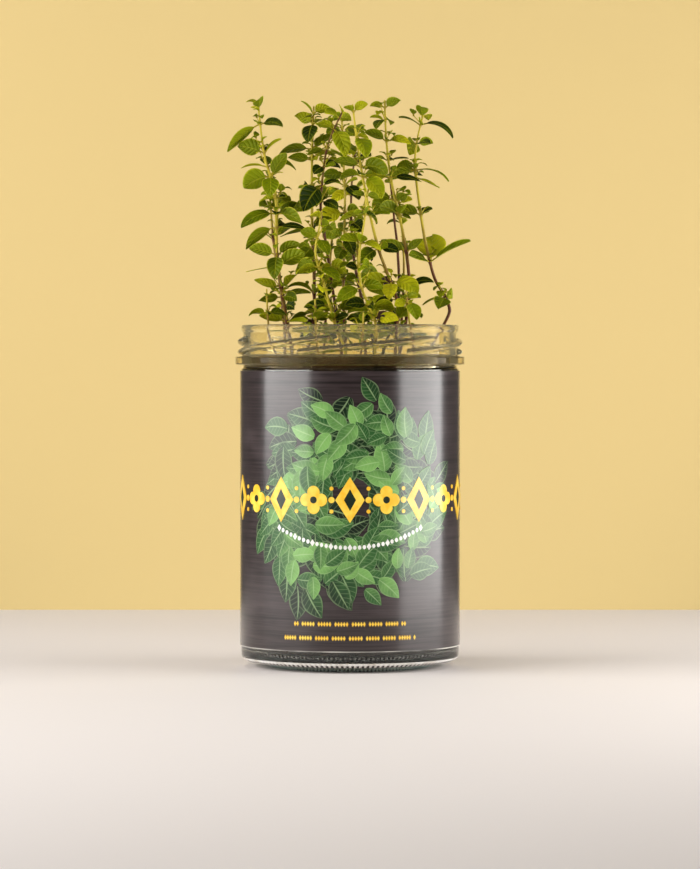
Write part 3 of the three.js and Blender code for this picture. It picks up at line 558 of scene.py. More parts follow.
def grow_plant(bush):
    """Each stem with its whorls: first the listed leaves, then the rest round them."""
    draw = make_draw(DRAW_SEED)
    plant = [(stem, stem_whorls(stem, draw)) for stem in bush.stems]
    for stem, whorls in plant:
        for whorl in whorls:
            for spec in whorl.leaf_specs:
                side = whorl.nearest_side(stem.tip_turn(whorl.z, spec))
                root = stem.side_root(whorl.z, whorl.turn + 90 * side)
                leaf = leaf_to_tip(root, spec, 0.1 + 0.3 * draw())
                whorl.leaves[side] = bush.place_main(leaf, stem.number)
    for stem, whorls in plant:
        for whorl in whorls:
            for side in (0, 2, 1, 3):
                leaf = ruled_leaf(stem, whorl, side, draw)
                grows = draw() < SIDE_ODDS and not whorl.size
                if whorl.leaves[side] is None and (side % 2 == 0 or grows):
                    whorl.leaves[side] = bush.place_main(leaf, stem.number)
    return plant


# ---- small shoots in the leaves' axils, and withered leaves

SHOOT_SEED = 4177
SHOOT_CLEAR = dict(leaf_clear=0.62, stem_clear=0.35)
AXIL_ODDS = 0.8  # how often a shoot grows in a leaf's axil, and on a side without a leaf
BARE_ODDS = 0.3
LONG_FROM = 0.62  # the share of the shoots that stay short
PAIR_SPACING = 2.6


@dataclass
class Shoot:
    """A short side stem: its root, its direction and length, and the leaves that it bears."""

    root: np.ndarray
    along: np.ndarray
    length: float
    leaves: list


def direction(turn, lift):
    t, u = math.radians(turn), math.radians(lift)
    return np.array([math.cos(t) * math.cos(u), math.sin(t) * math.cos(u), math.sin(u)])


def square_to(along):
    """Two directions at right angles to along and to each other."""
    across = np.cross(along, [0.0, 0.0, 1.0])
    across /= np.linalg.norm(across)
    return across, np.cross(along, across)


def shoot_leaf(root, along, turn_about, spread, length, draw):
    """A leaf whose midrib starts spread degrees away from along, on the side that turn_about gives."""
    across, other = square_to(along)
    a, s = math.radians(turn_about), math.radians(spread)
    way = along * math.cos(s) + (across * math.cos(a) + other * math.sin(a)) * math.sin(s)
    width = length * (0.52 + 0.16 * draw())
    turn = math.degrees(math.atan2(way[1], way[0]))
    lift = math.degrees(math.asin(way[2]))
    bend, roll, fold = 30 + 60 * draw(), (draw() - 0.5) * 50, 0.15 + 0.3 * draw()
    return Leaf(root, turn, lift, length, width, bend, roll, fold)


def grow_shoot(stem, z, turn, reach, size, bush, draw):
    """A shoot with pairs of small leaves, each pair a quarter turn on from the last."""
    along = direction(turn + (draw() - 0.5) * 40, 42 + 30 * draw())
    root = stem.side_root(z, turn)
    pairs = max(1, round(reach / PAIR_SPACING))
    first = 360 * draw()
    leaves = []
    for k in range(pairs):
        share = (k + 1) / pairs
        at = root + along * reach * share
        length = size * (1.15 - 0.45 * share)
        for side in (0, 180):
            spread = 58 - 26 * share + 14 * draw()
            own = length * (0.85 + 0.3 * draw())
            leaf = shoot_leaf(at, along, first + 90 * k + side, spread, own, draw)
            leaves.append(bush.place(leaf, stem.number, [1, 0.8], [0], [0, 25, -25], **SHOOT_CLEAR))
    leaves = [leaf for leaf in leaves if leaf]
    return Shoot(root, along, reach, leaves) if leaves else None


def grow_shoots(plant, bush):
    """The shoots of each stem, in the axils of its leaves and on some of the sides between them."""
    draw = make_draw(SHOOT_SEED)
    grown = []
    for stem, whorls in plant:
        shoots = []
        for whorl in whorls:
            for side in (0, 2, 1, 3):
                odds, long, size = draw(), draw(), draw()
                if whorl.size or odds > (AXIL_ODDS if whorl.leaves[side] else BARE_ODDS):
                    continue
                extra = max(0, (long - LONG_FROM) / (1 - LONG_FROM))
                reach = 1.2 + 2.0 * long + 3.2 * extra
                z, turn = whorl.z + 0.55 + 0.5 * odds, whorl.turn + 90 * side
                shoots.append(grow_shoot(stem, z, turn, reach, 2.9 + 2.2 * size, bush, draw))
        grown.append([shoot for shoot in shoots if shoot])
    return grown


# Each withered leaf's stem number and height, and its tip as for a listed leaf.
WITHERED = [
    [8, 130.0, [13.3, -9.0, 135.2, 2.8, 150, 40]],
    [8, 128.6, [11.6, -9.0, 130.6, 1.7, 120, 60]],
    [8, 143.4, [11.9, -9.8, 145.6, 3.4, 60, 70]],
    [9, 131.4, [18.2, -2.6, 132.6, 2.0, 60, 40]],
    [9, 135.8, [18.7, -2.8, 136.8, 2.2, 90, 60]],
    [9, 138.4, [19.8, -3.6, 139.4, 1.8, 40, 80]],
    [9, 143.6, [19.4, -4.2, 145.0, 1.9, 60, 30]],
    [13, 131.0, [12.6, -19.4, 128.8, 2.0, 70, 40]],
    [4, 128.0, [-16.2, 2.0, 130.2, 1.8, 80, 50]],
    [15, 128.0, [8.4, 23.6, 126.0, 2.2, 60, 30]],
]
WITHERED_FOLD = 0.8


def withered_leaves(stem):
    found = []
    for number, z, spec in WITHERED:
        if number == stem.number:
            root = stem.side_root(z, stem.tip_turn(z, spec))
            found.append(replace(leaf_to_tip(root, spec, WITHERED_FOLD), withered=True))
    return found


# ---- meshes


class Skin:
    """A mesh under construction from closed lofts, with a place and a tone for each point."""

    def __init__(self):
        self.points, self.places, self.tones, self.faces, self.materials = [], [], [], [], []
        self.count = 0

    def loft(self, rings, place=(0, 0, 0), tone=0.0, material=0):
        """Joins rings of points that run counter-clockwise seen from ahead, and closes both ends."""
        steps, sides = rings.shape[:2]
        index = self.count + np.arange(steps * sides).reshape(steps, sides)
        low, high = index[:-1], index[1:]
        quads = np.stack([low, np.roll(low, -1, 1), np.roll(high, -1, 1), high], -1)
        faces = quads.reshape(-1, 4).tolist() + [index[0, ::-1].tolist(), index[-1].tolist()]
        self.faces += faces
        self.materials += [material] * len(faces)
        self.points.append(rings.reshape(-1, 3))
        self.places.append(np.broadcast_to(place, rings.shape).reshape(-1, 3))
        self.tones.append(np.broadcast_to(tone, rings.shape[:2]).reshape(-1))
        self.count += steps * sides


CREASE = math.radians(42)  # faces that meet at a sharper turn than this aren't smoothed together


def make_mesh(name, points, faces, materials):
    """A smooth mesh from points in metres, creased where it turns sharply."""
    mesh = bpy.data.meshes.new(name)
    mesh.from_pydata(points, [], faces)
    for material in materials:
        mesh.materials.append(material)
    mesh.polygons.foreach_set("use_smooth", [True] * len(faces))
    mesh.set_sharp_from_angle(angle=CREASE)
    return mesh


def add_object(name, data):
    thing = bpy.data.objects.new(name, data)
    bpy.context.scene.collection.objects.link(thing)
    return thing


def make_piece(name, skin, materials, replaces=()):
    """The skin as a piece of the scene that rides on the frame's one body."""
    mesh = make_mesh(name, (np.concatenate(skin.points) * MM).tolist(), skin.faces, materials)
    mesh.polygons.foreach_set("material_index", skin.materials)
    places = np.concatenate(skin.places).astype(np.float32).ravel()
    mesh.attributes.new("place", "FLOAT_VECTOR", "POINT").data.foreach_set("vector", places)
    tones = np.concatenate(skin.tones).astype(np.float32)
    mesh.attributes.new("tone", "FLOAT", "POINT").data.foreach_set("value", tones)
    mesh.update()
    piece = add_object(name, mesh)
    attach(piece, "root")
    if replaces:
        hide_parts(*replaces)


def smoothstep(x):
    x = np.clip(x, 0, 1)
    return x * x * (3 - 2 * x)


def compass(count):
    """The angles of count directions all round."""
    return np.arange(count) * math.tau / count


def threes(x, y, z):
    """Points, or other threes of numbers, from their first, second and third numbers."""
    return np.stack(np.broadcast_arrays(x, y, z), -1)


def polar(r, angle, z):
    """Points at a radius and an angle round the Z axis, at height z."""
    return threes(r * np.cos(angle), r * np.sin(angle), z)


# ---- leaves and stems

# Where a leaf has rings, as shares of its length, and points across them, from edge to edge.
BLADE_SHARES = np.array(
    [0.05, 0.1, 0.145, 0.18, 0.23, 0.3, 0.39, 0.49, 0.59, 0.69, 0.78, 0.86, 0.92, 0.965, 0.99, 1]
)
BLADE_ACROSS = np.array([-1, -0.93, -0.62, -0.3, 0, 0.3, 0.62, 0.93, 1])
SMALL_SHARES = np.array([0.08, 0.15, 0.22, 0.36, 0.52, 0.68, 0.83, 0.94, 1])
SMALL_ACROSS = np.array([-1, -0.6, 0, 0.6, 1])
SMALL_THICKNESS = 0.75  # of a small leaf, as a share of a large one's
SUNK_ROOT = 0.35  # how far a leaf's stalk reaches into its stem
STALK_THICK = 0.26  # half-thicknesses: of the stalk, of the midrib and of the blade
RIB_THICK = 0.2
BLADE_THICK = 0.1
RIB_SHARE = 0.16  # the midrib's half-width, as a share of the blade's


def leaf_thickness(t, across):
    """Half a leaf's thickness: a round stalk that runs out into a thin blade with a thicker midrib."""
    a = np.abs(across)[None, :]
    grown = smoothstep((t - 0.1) / 0.12)[:, None]
    round_stalk = STALK_THICK * np.sqrt(1 - a * a)
    rim = np.sqrt(1 - a**6)
    taper = (1 - 0.6 * t)[:, None]
    rib = (RIB_THICK - BLADE_THICK) * taper * np.exp(-((a / RIB_SHARE) ** 2))
    return round_stalk * (1 - grown) + (BLADE_THICK * rim + rib) * rim * grown


def leaf_ripple(leaf, t, across, draw):
    """How far the blade waves up and down towards its edges. Withered leaves are crumpled."""
    wave, phase, pucker = 0.05 + 0.06 * draw(), 6 * draw(), 2 + 3 * draw()
    if leaf.withered:
        wave, pucker = 0.5, 9
    t, across = t[:, None], across[None, :]
    ripple = wave * leaf.width * across**2 * np.sin(pucker * t + phase + 2 * across)
    return ripple * smoothstep((t - BLADE_START) / 0.3)


def add_leaf(skin, leaf, tone, draw, material, small=False):
    """A leaf as one closed thin body. Its place is across, along and which face: 0 is the upper one."""
    shares, across = (SMALL_SHARES, SMALL_ACROSS) if small else (BLADE_SHARES, BLADE_ACROSS)
    t = np.concatenate([[-SUNK_ROOT / leaf.length], shares])
    up = leaf_frames(leaf, t)[2][:, None, :]
    middle = leaf_points(leaf, t, across) + up * leaf_ripple(leaf, t, across, draw)[..., None]
    half = leaf_thickness(t, across)[..., None] * (SMALL_THICKNESS if small else 1)
    lower, upper = middle - up * half, middle + up * half
    rings = np.concatenate([lower, upper[:, -2:0:-1]], axis=1)
    around = np.concatenate([across, across[-2:0:-1]])
    under = np.concatenate([np.ones(len(across)), np.zeros(len(across) - 2)])
    under[[0, len(across) - 1]] = 0.5
    skin.loft(rings, threes(around, t[:, None], under), tone, material)


STEM_SIDES = 12
STEM_SQUARE = 3.2  # power of the rounded square's outline: 2 is round, and more is squarer
STEM_STEP = 1.1
STEM_BASE = 3.0  # how far a fine stem starts below the soil's top
STEM_SHARE = 0.9  # between the nodes, of the frame's radius
NODE_SWELL = 0.3
NODE_HALF = 0.75
TWIST_START = 1.2  # height over the soil at which the stem's twist towards its first whorl begins


def square_ring(turn):
    """A rounded square with its flat sides facing turn and its quarter turns, 1 across the corners."""
    a = compass(STEM_SIDES)
    size = (np.abs(np.cos(a)) ** STEM_SQUARE + np.abs(np.sin(a)) ** STEM_SQUARE) ** (-1 / STEM_SQUARE)
    return polar(size / size.max(), a + np.radians(turn)[:, None], 0)[..., :2]


def stem_turns(stem, whorls):
    """The heights where the stem's twist is known, and the twist, the smaller way round each time."""
    heights, turns = [SOIL_TOP - ROOT_DEPTH, SOIL_TOP + TWIST_START], [stem.turn, stem.turn]
    for whorl in whorls:
        if any(whorl.leaves):
            quarters = math.floor((turns[-1] - whorl.turn) / 90 + 0.5)
            heights.append(whorl.z)
            turns.append(whorl.turn + 90 * quarters)
    return heights, turns


def add_stem(skin, stem, whorls):
    """The square stem. Its place is how brown it is, how far up, and how near a node is."""
    nodes = np.array([w.z for w in whorls if any(w.leaves)])
    even = np.arange(SOIL_TOP - STEM_BASE, stem.tip, STEM_STEP)
    z = np.unique(np.concatenate([even, nodes - 0.5, nodes, nodes + 0.5, stem.tip - [0.5, 0.15]]))
    near = np.exp(-(((z[:, None] - nodes) / NODE_HALF) ** 2)).max(1)
    radius = stem.radius_at(z) * STEM_SHARE * (1 + NODE_SWELL * near)
    radius *= np.where(z > stem.tip - 0.3, 0.55, 1)
    ring = square_ring(np.interp(z, *stem_turns(stem, whorls)))
    xy = stem.axis(z)[:, None, :] + ring * radius[:, None, None]
    rings = np.concatenate([xy, np.broadcast_to(z[:, None, None], xy[..., :1].shape)], -1)
    share = np.clip((z - SOIL_TOP) / (stem.tip - SOIL_TOP), 0, 1)
    low, high = stem.bark
    brown = low + (high - low) * smoothstep(1.6 * share - 0.15)
    skin.loft(rings, threes(brown, share, near)[:, None, :], stem.number / len(STEMS))


SHOOT_RADIUS = 0.2
SHOOT_BROWN = 0.3  # how brown it is, as a share of its stem's tip


def add_stalk(skin, shoot, brown):
    """A shoot's own thin stem, from inside the main one to just past its last leaves."""
    across, other = square_to(shoot.along)
    a = compass(6)[:, None]
    ring = across * np.cos(a) + other * np.sin(a)
    along = np.array([-SUNK_ROOT, 0.3, shoot.length * 0.6, shoot.length, shoot.length + 0.3])
    thick = SHOOT_RADIUS * np.array([1.2, 1, 0.85, 0.8, 0.3])
    rings = shoot.root + shoot.along * along[:, None, None] + ring * thick[:, None, None]
    skin.loft(rings, (brown, 0.5, 0), 0.5)


HAIR_STEP = 0.225
HAIR_LENGTH = 0.5
HAIR_THICK = 0.035
GOLDEN_ANGLE = 137.5


def add_hairs(skin, stem, draw):
    """Short fine hairs out of the stem all the way up, at a golden angle from each to the next."""
    turn = 0.0
    for z in np.arange(SOIL_TOP + 1.5, stem.tip - 0.6, HAIR_STEP):
        turn += GOLDEN_ANGLE
        x, y = stem.axis(z)
        way = direction(turn, 20 * (draw() - 0.5))
        aside, up = np.array([-way[1], way[0], 0]), np.array([0, 0, 1.0])
        radius = float(stem.radius_at(z))
        root = np.array([x, y, z]) + way * 0.6 * radius
        length = HAIR_LENGTH * (0.5 + draw()) + 0.3 * radius
        a = compass(3)[:, None]
        ring = aside * np.cos(a) + up * np.sin(a)
        thick = HAIR_THICK * np.array([1, 0.2])[:, None, None]
        skin.loft(root + way * np.array([0, length])[:, None, None] + ring * thick, (0, 0.5, 0), 0.9)


LOOKS_SEED = 90210
YOUNG_TONE = 0.25  # least tone of a leaf at a stem's tip, and of the others: 0 is dark and 1 light
OLD_TONE = -0.06


def make_plant(*materials):
    """One piece for each leafy stem of the frame: the stem, its leaves and its shoots."""
    bush = Bush([Stem(i + 1, **sizes) for i, sizes in enumerate(STEMS)])
    plant = grow_plant(bush)
    shoots = grow_shoots(plant, bush)
    draw = make_draw(LOOKS_SEED)
    for (stem, whorls), side_shoots in zip(plant, shoots):
        skin = Skin()
        add_stem(skin, stem, whorls)
        add_hairs(skin, stem, draw)
        for whorl in whorls:
            least = YOUNG_TONE if whorl.size else OLD_TONE
            for leaf in filter(None, whorl.leaves):
                add_leaf(skin, leaf, least + 1.04 * draw() ** 1.5, draw, 1)
        for shoot in side_shoots:
            add_stalk(skin, shoot, SHOOT_BROWN * stem.bark[1])
            for leaf in shoot.leaves:
                add_leaf(skin, leaf, 0.4 + 0.5 * draw(), draw, 1, small=True)
        for leaf in withered_leaves(stem):
            add_leaf(skin, leaf, draw(), draw, 2)
        node = f"leafy_stem_{stem.number:02d}"
        make_piece("oregano_" + node, skin, materials, [node])


# ---- the jar

JAR_SIDES = 520
KNURLS = 130
KNURL_DEPTH = 0.34
NOTCH_DEPTH = 0.7  # of the small notches in the foot's edge, one at each knurl
THREAD_HALF = 1.15
FILLET_STEPS = 6
FLAT_START = 0.1  # how far past a fillet a flat stretch has its next point, so that it shades as flat
ROW_STEP = 0.3
BASE_GLASS, MOULDED_GLASS, COLLAR_GLASS, NECK_GLASS = range(4)


def filleted(profile):
    """A profile of [radius, height, fillet] corners, rounded, as [radius, height] points."""
    corners = np.array(profile)[:, :2]
    points = [corners[0]]
    for before, corner, after, (_, _, fillet) in zip(corners, corners[1:], corners[2:], profile[1:]):
        back, on = before - corner, after - corner
        spans = np.linalg.norm(back), np.linalg.norm(on)
        back, on = back / spans[0], on / spans[1]
        reach = min(fillet, spans[0] / 2.4, spans[1] / 2.4)
        points.append(corner + back * (reach + min(FLAT_START, 0.05 * spans[0])))
        for s in np.linspace(0, 1, FILLET_STEPS):
            points.append(corner + back * reach * (1 - s) ** 2 + on * reach * s * s)
        points.append(corner + on * (reach + min(FLAT_START, 0.05 * spans[1])))
    points.append(corners[-1])
    return np.array(points)


def with_rows(points, low, high):
    """The same profile with more points where its outside is between two heights."""
    rows = [points[0]]
    for a, b in zip(points, points[1:]):
        between = low <= min(a[1], b[1]) and max(a[1], b[1]) <= high
        outside = min(a[0], b[0]) > BORE_RADIUS + 0.1
        count = max(1, math.ceil(np.linalg.norm(b - a) / ROW_STEP)) if between and outside else 1
        rows += [a + (b - a) * (k + 1) / count for k in range(count)]
    return np.array(rows)


def jar_profile():
    """The jar's half section as [radius, height] points, from under its middle round to its floor."""
    corners = [
        [1.0, PUNT_TOP, 0],
        [FOOT_INNER_RADIUS - 3, PUNT_TOP - 0.6, 1.5],
        [FOOT_INNER_RADIUS, 0, 0.5],
        [FOOT_RADIUS, 0, 0.5],
        [FOOT_RADIUS + 0.5, FOOT_HEIGHT, 0.4],
        [JAR_RADIUS - 2.4, FOOT_HEIGHT + 0.3, 0.8],
        [JAR_RADIUS - 0.6, FOOT_HEIGHT + 1.4, 1.0],
        [JAR_RADIUS, HEEL_TOP, 1.0],
        [JAR_RADIUS, LABEL_TOP + 0.6, 0.6],
        [NECK_RADIUS, COLLAR_BOTTOM - 1, 0.5],
        [NECK_RADIUS, COLLAR_BOTTOM, 0.3],
        [COLLAR_RADIUS, COLLAR_BOTTOM + 0.3, 0.6],
        [COLLAR_RADIUS, COLLAR_TOP - 0.3, 0.6],
        [NECK_RADIUS, COLLAR_TOP + 0.1, 0.5],
        [NECK_RADIUS, LIP_BOTTOM, 0.4],
        [LIP_RADIUS, LIP_BOTTOM + 0.7, 0.5],
        [LIP_RADIUS, JAR_HEIGHT, 1.3],
        [BORE_RADIUS, JAR_HEIGHT, 1.3],
        [BORE_RADIUS, COLLAR_BOTTOM, 0.4],
        [BORE_RADIUS, FLOOR_TOP, 3.6],
        [1.0, FLOOR_TOP, 0],
    ]
    rows = with_rows(filleted(corners), COLLAR_TOP, LIP_BOTTOM)
    return with_rows(rows, 0.2, HEEL_TOP)


def thread_relief(angle, z):
    """How far the threads stand out of the neck: ridges with round ends that climb round it."""
    relief = np.zeros(np.broadcast(angle, z).shape)
    half_run = math.radians(THREAD_TURN / 2) * NECK_RADIUS
    slope = THREAD_RISE / (2 * half_run)
    for k in range(THREADS):
        middle = THREAD_FIRST + k * 360 / THREADS + THREAD_TURN / 2
        s = np.radians((np.degrees(angle) - middle + 180) % 360 - 180) * NECK_RADIUS
        on_line = np.clip(s, -half_run, half_run)
        dz = z - (THREAD_LOW + THREAD_RISE / 2 + slope * on_line)
        away = np.hypot(s - on_line, dz) / THREAD_HALF
        relief = np.maximum(relief, np.sqrt(np.clip(1 - away**2, 0, 1)))
    return relief * (THREAD_RADIUS - NECK_RADIUS)


def jar_surface(rows):
    """The profile turned round, with knurls and notches at the foot and threads on the neck."""
    angle = compass(JAR_SIDES)[None, :]
    r, z = rows[:, :1], rows[:, 1:]
    neck = (r > BORE_RADIUS + 1) & (z > COLLAR_TOP + 0.1) & (z < LIP_BOTTOM + 0.3)
    heel = (r > FOOT_RADIUS + 5) & (z < HEEL_TOP - 0.6)
    foot = (np.abs(r - FOOT_RADIUS) < 0.8) & (z < FOOT_HEIGHT)
    knurl = KNURL_DEPTH * (np.clip(np.cos(angle * KNURLS), -0.3, 1) + 0.3)
    out = r - np.where(heel | foot, knurl, 0)
    out = np.maximum(out, np.where(neck, NECK_RADIUS + thread_relief(angle, z), 0))
    edge = (r > FOOT_INNER_RADIUS + 2) & (r < FOOT_RADIUS + 0.8) & (z < 1)
    notch = NOTCH_DEPTH * np.clip(np.cos(angle * KNURLS), 0, 1)
    return polar(out, angle, z + np.where(edge, notch * (1 - z), 0))


def glass_kinds(rows):
    """The kind of glass between each row of the profile and the next."""
    r, z = ((rows[:-1] + rows[1:]) / 2).T
    kinds = np.full(len(r), BASE_GLASS)
    kinds[(r > FOOT_INNER_RADIUS + 2) & (z < HEEL_TOP - 0.8)] = MOULDED_GLASS
    kinds[z > COLLAR_BOTTOM - 1.5] = COLLAR_GLASS
    kinds[z > COLLAR_TOP] = NECK_GLASS
    return kinds


def make_jar(*glasses):
    """The jar, of its four kinds of glass."""
    rows = jar_profile()
    skin = Skin()
    skin.loft(jar_surface(rows))
    ends = [BASE_GLASS] * 2
    skin.materials = np.repeat(glass_kinds(rows), JAR_SIDES).tolist() + ends
    make_piece("jar_glass", skin, glasses, ["glass_jar"])


# ---- the label and its print

LABEL_STEPS = 288
LABEL_EDGE = 0.08  # how far the paper's edges are rounded
PRINT_SUNK = 0.04  # how far the print reaches into the paper
PRINT_LIFT = 0.006  # each level of print lies this much over the last
PRINT_SEED = 515
GOLD, WHITE, DARK = range(3)

WREATH_CENTRE = 64.0  # its height
WREATH_RADIUS = 26.0
WREATH_LAYERS = [
    # leaves, least and most offset from the wreath's circle, length, width, least and most tone
    (110, -16, 12, 11.5, 7.4, -0.1, 0.2),
    (110, -14, 11, 10.5, 6.8, 0.15, 0.6),
    (80, -12, 10, 9.5, 6.0, 0.45, 1.0),
]
WREATH_LEVELS = 12  # of print in each of its layers
ORNAMENT_LEVEL = len(WREATH_LAYERS) * WREATH_LEVELS + 2

BAND_HEIGHT = 64.0
BAND_STEP = 13.6
ARC_HALF = 28.0  # the dotted arc: half its width, and its height at the ends and in the middle
ARC_ENDS = 53.5
ARC_MIDDLE = 46.5
ARC_DOTS = 16  # on each side of the middle one
BEAD_ROWS = [(18.4, 21.0), (13.2, 25.2)]  # height and half-width
BEAD_STEP = 1.05


def make_label(material):
    """The paper band, open by its seam at the back, with slightly rounded edges."""
    back, seam = math.pi / 2, LABEL_SEAM / 2 / LABEL_RADIUS
    angle = np.linspace(back + seam, back + math.tau - seam, LABEL_STEPS + 1)
    inner = LABEL_RADIUS - LABEL_THICKNESS
    section = [
        [inner, LABEL_BOTTOM + LABEL_EDGE],
        [inner, LABEL_TOP - LABEL_EDGE],
        [inner + LABEL_EDGE, LABEL_TOP],
        [LABEL_RADIUS - LABEL_EDGE, LABEL_TOP],
        [LABEL_RADIUS, LABEL_TOP - LABEL_EDGE],
        [LABEL_RADIUS, LABEL_BOTTOM + LABEL_EDGE],
        [LABEL_RADIUS - LABEL_EDGE, LABEL_BOTTOM],
        [inner + LABEL_EDGE, LABEL_BOTTOM],
    ]
    r, z = np.array(section).T
    skin = Skin()
    skin.loft(polar(r, angle[:, None], z))
    make_piece("wrap_label", skin, [material], ["paper_label"])


def on_label(points, lift):
    """Points [across, height] of the flat label laid round the jar. Across is 0 at the front."""
    return polar(LABEL_RADIUS + lift, points[..., 0] / LABEL_RADIUS - math.pi / 2, points[..., 1])


def print_leaf(skin, root, turn, length, width, bow, level, tone):
    """A printed leaf: a pointed oval from root, turned by turn degrees, that bows to one side."""
    t = np.array([0, 0.05, 0.12, 0.22, 0.34, 0.46, 0.58, 0.7, 0.81, 0.91, 1])
    across = np.array([-1, -0.66, -0.33, 0, 0.33, 0.66, 1])
    a = math.radians(turn) + math.radians(bow) * (t - 0.5)
    step = np.diff(t, prepend=0)[:, None] * length
    spine = np.array(root) + np.cumsum(np.stack([np.cos(a), np.sin(a)], -1) * step, axis=0)
    half = width / 2 * np.sin(np.pi * (0.04 + 0.96 * t) ** 0.85).clip(0.03) ** 0.9
    side = np.stack([-np.sin(a), np.cos(a)], -1)
    flat = spine[:, None, :] + side[:, None, :] * (across[None, :] * half[:, None])[..., None]
    lower, upper = on_label(flat, -PRINT_SUNK), on_label(flat, PRINT_LIFT * level)
    rings = np.concatenate([lower, upper[:, ::-1]], axis=1)
    around = np.concatenate([across, across[::-1]])
    skin.loft(rings, threes(around, t[:, None], 0.0), tone)


def print_shape(skin, across, up, outline, material=GOLD, level=ORNAMENT_LEVEL):
    """A printed shape. outline gives its radius at each of some compass directions round its centre."""
    centre = np.array([across, up])
    edge = polar(outline, compass(len(outline)), 0)[:, :2]
    rings = [on_label(centre + edge, -PRINT_SUNK)]
    rings += [on_label(centre + edge * s, PRINT_LIFT * level) for s in (1, 0.66, 0.33, 0.02)]
    skin.loft(np.array(rings), tone=0.5, material=material)


def lozenge(half_width, half_height):
    a = compass(32)
    return 1 / (np.abs(np.cos(a)) / half_width + np.abs(np.sin(a)) / half_height)


def disc(half_width, half_height=None):
    a = compass(20)
    return 1 / np.hypot(np.cos(a) / half_width, np.sin(a) / (half_height or half_width))


def quatrefoil(radius):
    return radius * (0.62 + 0.38 * np.abs(np.cos(2 * compass(48))) ** 0.8)


def add_wreath(skin, draw):
    """Layers of leaves round a circle, dark ones under light ones, each slanting out or in from it."""
    for layer, (count, least, most, length, width, dark, light) in enumerate(WREATH_LAYERS):
        for k in range(count):
            a = math.tau * (k + draw()) / count
            r = WREATH_RADIUS + least + (most - least) * draw()
            root = r * math.cos(a), WREATH_CENTRE + r * math.sin(a)
            slant = (28 + 34 * draw()) * (1 if k % 2 else -1)
            size = 0.8 + 0.4 * draw()
            bow = (draw() - 0.5) * 60
            tone = dark + (light - dark) * draw()
            level = 1 + layer * WREATH_LEVELS + 5 * k % WREATH_LEVELS
            turn = math.degrees(a) + 90 + slant
            print_leaf(skin, root, turn, length * size, width * size, bow, level, tone)


def add_band(skin):
    """A row of gold lozenges and four-lobed shapes with dark middles, and beads between them."""
    for k in range(-4, 5):
        across = k * BAND_STEP
        outer, middle = (quatrefoil(5.2), disc(1.3)) if k % 2 else (lozenge(5.4, 8.4), lozenge(2.2, 4.0))
        print_shape(skin, across, BAND_HEIGHT, outer)
        print_shape(skin, across, BAND_HEIGHT, middle, DARK, ORNAMENT_LEVEL + 2)
        for up in (-4.2, 0, 4.2):
            bead = disc(0.75 if up else 1.15)
            print_shape(skin, across + BAND_STEP / 2, BAND_HEIGHT + up, bead)


def add_small_print(skin):
    """A hanging arc of white dots, and two rows of small gold beads under it."""
    for k in range(-ARC_DOTS, ARC_DOTS + 1):
        share = k / ARC_DOTS
        up = ARC_MIDDLE + (ARC_ENDS - ARC_MIDDLE) * share**2
        dot = disc(0.62, 0.8) if k % 4 else lozenge(0.9, 1.3)
        print_shape(skin, ARC_HALF * share, up, dot, WHITE)
    for row, (up, half_row) in enumerate(BEAD_ROWS):
        count = round(half_row / BEAD_STEP)
        for k in range(-count, count + 1):
            if (k + row) % 6:
                print_shape(skin, k * BEAD_STEP, up, lozenge(0.5, 0.95))


def make_print(leaf_ink, *ornament_inks):
    leaves, ornament = Skin(), Skin()
    add_wreath(leaves, make_draw(PRINT_SEED))
    make_piece("label_wreath", leaves, [leaf_ink])
    add_band(ornament)
    add_small_print(ornament)
    make_piece("label_ornament", ornament, ornament_inks)


# ---- the soil

SOIL_SEED = 3307
SOIL_SIDES = 144
SOIL_ROWS = 66
SOIL_RINGS = 46
SOIL_RADIUS = BORE_RADIUS - SOIL_GAP - 0.1
CRUMBS = 700
CRUMB_LAYER = 1.1  # how far the soil's top lies below its greatest height, to leave room for crumbs
CRUMB_SIDES = 7


def soil_height(x, y):
    broad = 0.6 * np.sin(x * 0.31 + 1.3) * np.cos(y * 0.27)
    return SOIL_TOP - CRUMB_LAYER + SOIL_BUMP * (broad + 0.4 * np.sin(x * 0.83 - y * 0.71))


def lumps(x, y, z):
    """Fine bumps, from waves that never line up."""
    return (
        np.sin(1.9 * x + 0.7 * np.sin(1.3 * y)) * np.sin(2.3 * y + 1.1 * z)
        + 0.6 * np.sin(3.7 * x - 2.9 * y + 1.7 * z)
        + 0.5 * np.sin(4.9 * y + 3.1 * z) * np.sin(5.3 * x)
    )


def soil_block():
    """The block's rings, from the middle of its underside up its lumpy side and in over its top."""
    a = compass(SOIL_SIDES)[None, :]
    floor = FLOOR_TOP + SOIL_GAP + 0.15
    rows = [(2, floor), (SOIL_RADIUS - 3.4, floor), (SOIL_RADIUS - 1.6, floor + 0.9)]
    rows += [(SOIL_RADIUS, z) for z in np.linspace(floor + 3.2, SOIL_TOP - 1, SOIL_ROWS)]
    r, z = np.array(rows).T[..., None]
    side = polar(r + 0.12 * lumps(r * np.cos(a), r * np.sin(a), z), a, z)
    top = polar(SOIL_RADIUS * np.linspace(0.995, 0.02, SOIL_RINGS)[:, None], a, 0.0)
    x, y = top[..., 0], top[..., 1]
    top[..., 2] = soil_height(x, y) + 0.28 * lumps(x, y, 0)
    return np.concatenate([side, top])


def add_crumb(skin, centre, size, draw):
    """A rough grain of soil, a little flattened."""
    a = compass(CRUMB_SIDES) + draw()
    stretch = 0.7 + 0.6 * draw()
    rings = []
    for level in (-0.92, -0.45, 0.15, 0.65, 0.95):
        r = math.sqrt(1 - level * level) * (0.75 + 0.5 * np.array([draw() for _ in a]))
        rings.append(centre + size * polar(r, a, 0.75 * level) * [stretch, 1 / stretch, 1])
    skin.loft(np.array(rings), tone=draw())


